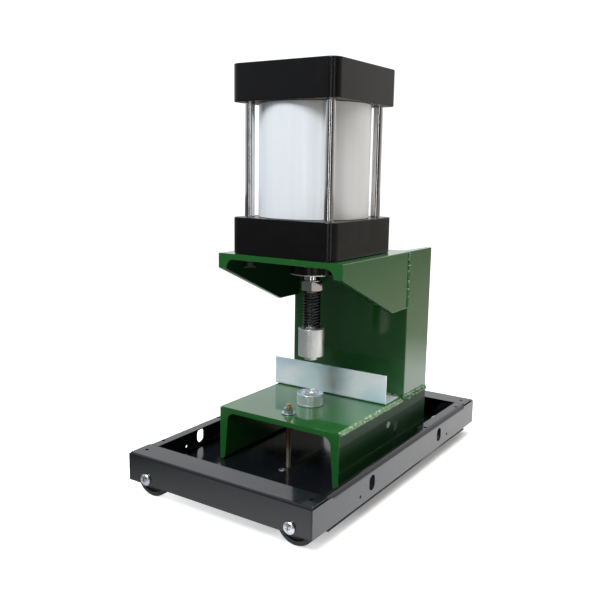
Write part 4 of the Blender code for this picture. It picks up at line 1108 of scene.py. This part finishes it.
# what is inside the cylinder keeps its CAD shape and gets a finish of its own
hiddenFinish = {
    "rod_bush": "bronze", "rod_seal": "nitrile", "barrel_seal_lower": "nitrile",
    "barrel_seal_upper": "nitrile", "piston": "alloy", "piston_seal_lower": "nitrile",
    "piston_seal_upper": "nitrile", "piston_nut": "zinc",
}
for node, finish in hiddenFinish.items():
    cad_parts[node].material_slots[0].material = mats[finish]


studio = {
    "floor": (0.86, 0.86, 0.87), "floorSize": 9.0,
    "topLight": {"place": (0.40, 0.45, 2.3), "aim": (0, 0, 0.1), "size": 2.1, "power": 60,
                 "colour": (1.0, 0.965, 0.92)},
    "keyLight": {"place": (-0.12, -1.5, 1.95), "aim": (0, 0, 0.25), "size": 0.9, "power": 58,
                 "colour": (0.87, 0.94, 1.0)},
    "stripRight": {"place": (1.05, -1.0, 0.5), "aim": (0, 0, 0.35), "size": 0.10, "length": 1.5, "power": 1.6,
                   "colour": (1.0, 0.95, 0.90)},
    "stripLeft": {"place": (0.35, -1.40, 0.5), "aim": (0, 0, 0.35), "size": 0.08, "length": 1.5, "power": 1.6,
                  "colour": (0.95, 0.98, 1.0)},
    # the sheet's middle, its fade and the two dim tones paint the fall-off of light on the floor
    "backGlow": 0.85, "frontDark": 0.02, "glowWay": (-0.55, 0.80, 0.2), "falloffPaleWay": (0.8, 0.6, 0),
    "lightPoolMiddle": (0.20, 0.17, 0), "lightPoolFade": (0.34, 0.66), "falloffDarkTone": (0.02, 0.02, 0.02),
    "falloffPaleTone": (0.34, 0.31, 0.27), "warm": (1.0, 0.94, 0.87), "cool": (0.95, 0.98, 1.0),
}


def makeFloor():
    bm = bmesh.new()
    bmesh.ops.create_grid(bm, x_segments=2, y_segments=2, size=studio["floorSize"])
    floor = looseObject(bm, "studioFloor")
    look = newFinish("floorFinish")
    # painted light: the pale sheet's colour fades with distance from the press into darker tones, darkest at
    # the front left and paler to the right and back, a painted fall-off of light; seen by the camera the
    # sheet also glows white, more so further out, a painted glow that carries it over into the white wall
    away = look.vectors("LENGTH", look.mapped(studio["lightPoolMiddle"]))
    facing = look.vectors("DOT_PRODUCT", look.place, Vector(studio["falloffPaleWay"]).normalized())
    turn = look.sums("DIVIDE", facing, look.sums("MAXIMUM", away, 0.01))
    lightFalloff = look.blended(look.ranged(turn, -0.6, 0.9), studio["falloffDarkTone"], studio["falloffPaleTone"])
    paper = look.blended(look.noise(3, 3), studio["floor"], [c * 0.985 for c in studio["floor"]])
    look.set("Base Color", look.blended(look.ranged(away, *studio["lightPoolFade"]), paper, lightFalloff))
    look.set("Roughness", 0.6)
    look.set("Emission Color", (1, 1, 1))
    seen = look.made("LightPath")["Is Camera Ray"]
    look.set("Emission Strength", look.sums("MULTIPLY", seen, look.ranged(away, 0.28, 0.55, 0.2, 1)))
    floor.data.materials.append(look.material)


def addSoftLight(name, look):
    light = bpy.data.lights.new(name, "AREA")
    light.shape = "RECTANGLE"
    light.size = look["size"]
    light.size_y = look.get("length", look["size"])
    light.energy = look["power"]
    light.color = look["colour"]
    lamp = bpy.data.objects.new(name, light)
    bpy.context.collection.objects.link(lamp)
    lamp.location = look["place"]
    lamp.rotation_euler = (Vector(look["aim"]) - lamp.location).to_track_quat("-Z", "Y").to_euler()


def makeRoom():
    # a pale wall behind the press that fades to a dim room in front of it
    world = bpy.data.worlds.new("studioRoom")
    bpy.context.scene.world = world
    world.use_nodes = True
    look = Nodes(world.node_tree, "Background", "Generated")
    facing = look.vectors("DOT_PRODUCT", look.place, Vector(studio["glowWay"]).normalized())
    glow = look.ranged(facing, -0.75, 0.75, studio["frontDark"], studio["backGlow"])
    seen = look.sums("MULTIPLY", look.made("LightPath")["Is Camera Ray"], 1.2)
    side = look.ranged(look.vectors("DOT_PRODUCT", look.place, (1, 0, 0)), -0.2, 0.7)
    look.set("Color", look.blended(side, studio["cool"], studio["warm"]))
    look.set("Strength", look.sums("MAXIMUM", glow, seen))


view = {"place": (0.5135, -0.8305, 0.4005), "yaw": -33.53, "pitch": -10.18, "roll": 0.86, "lens": 44.38}


def makeCamera():
    yaw, pitch, roll = (math.radians(view[key]) for key in ("yaw", "pitch", "roll"))
    ahead = Vector((math.sin(yaw) * math.cos(pitch), math.cos(yaw) * math.cos(pitch), math.sin(pitch)))
    level = ahead.cross(Vector((0, 0, 1))).normalized()
    upright = level.cross(ahead)
    right = level * math.cos(roll) + upright * math.sin(roll)
    up = upright * math.cos(roll) - level * math.sin(roll)
    data = bpy.data.cameras.new("studioCamera")
    data.lens = view["lens"]
    data.sensor_width = 36
    data.clip_start = 0.05
    data.clip_end = 60
    camera = bpy.data.objects.new("studioCamera", data)
    bpy.context.collection.objects.link(camera)
    turn = Matrix((right, up, -ahead)).transposed().to_4x4()
    camera.matrix_world = Matrix.Translation(view["place"]) @ turn
    bpy.context.scene.camera = camera


makeFloor()
for name in ("topLight", "keyLight", "stripRight", "stripLeft"):
    addSoftLight(name, studio[name])
makeRoom()
makeCamera()
bpy.context.scene.view_settings.view_transform = "Standard"
print("studio made")
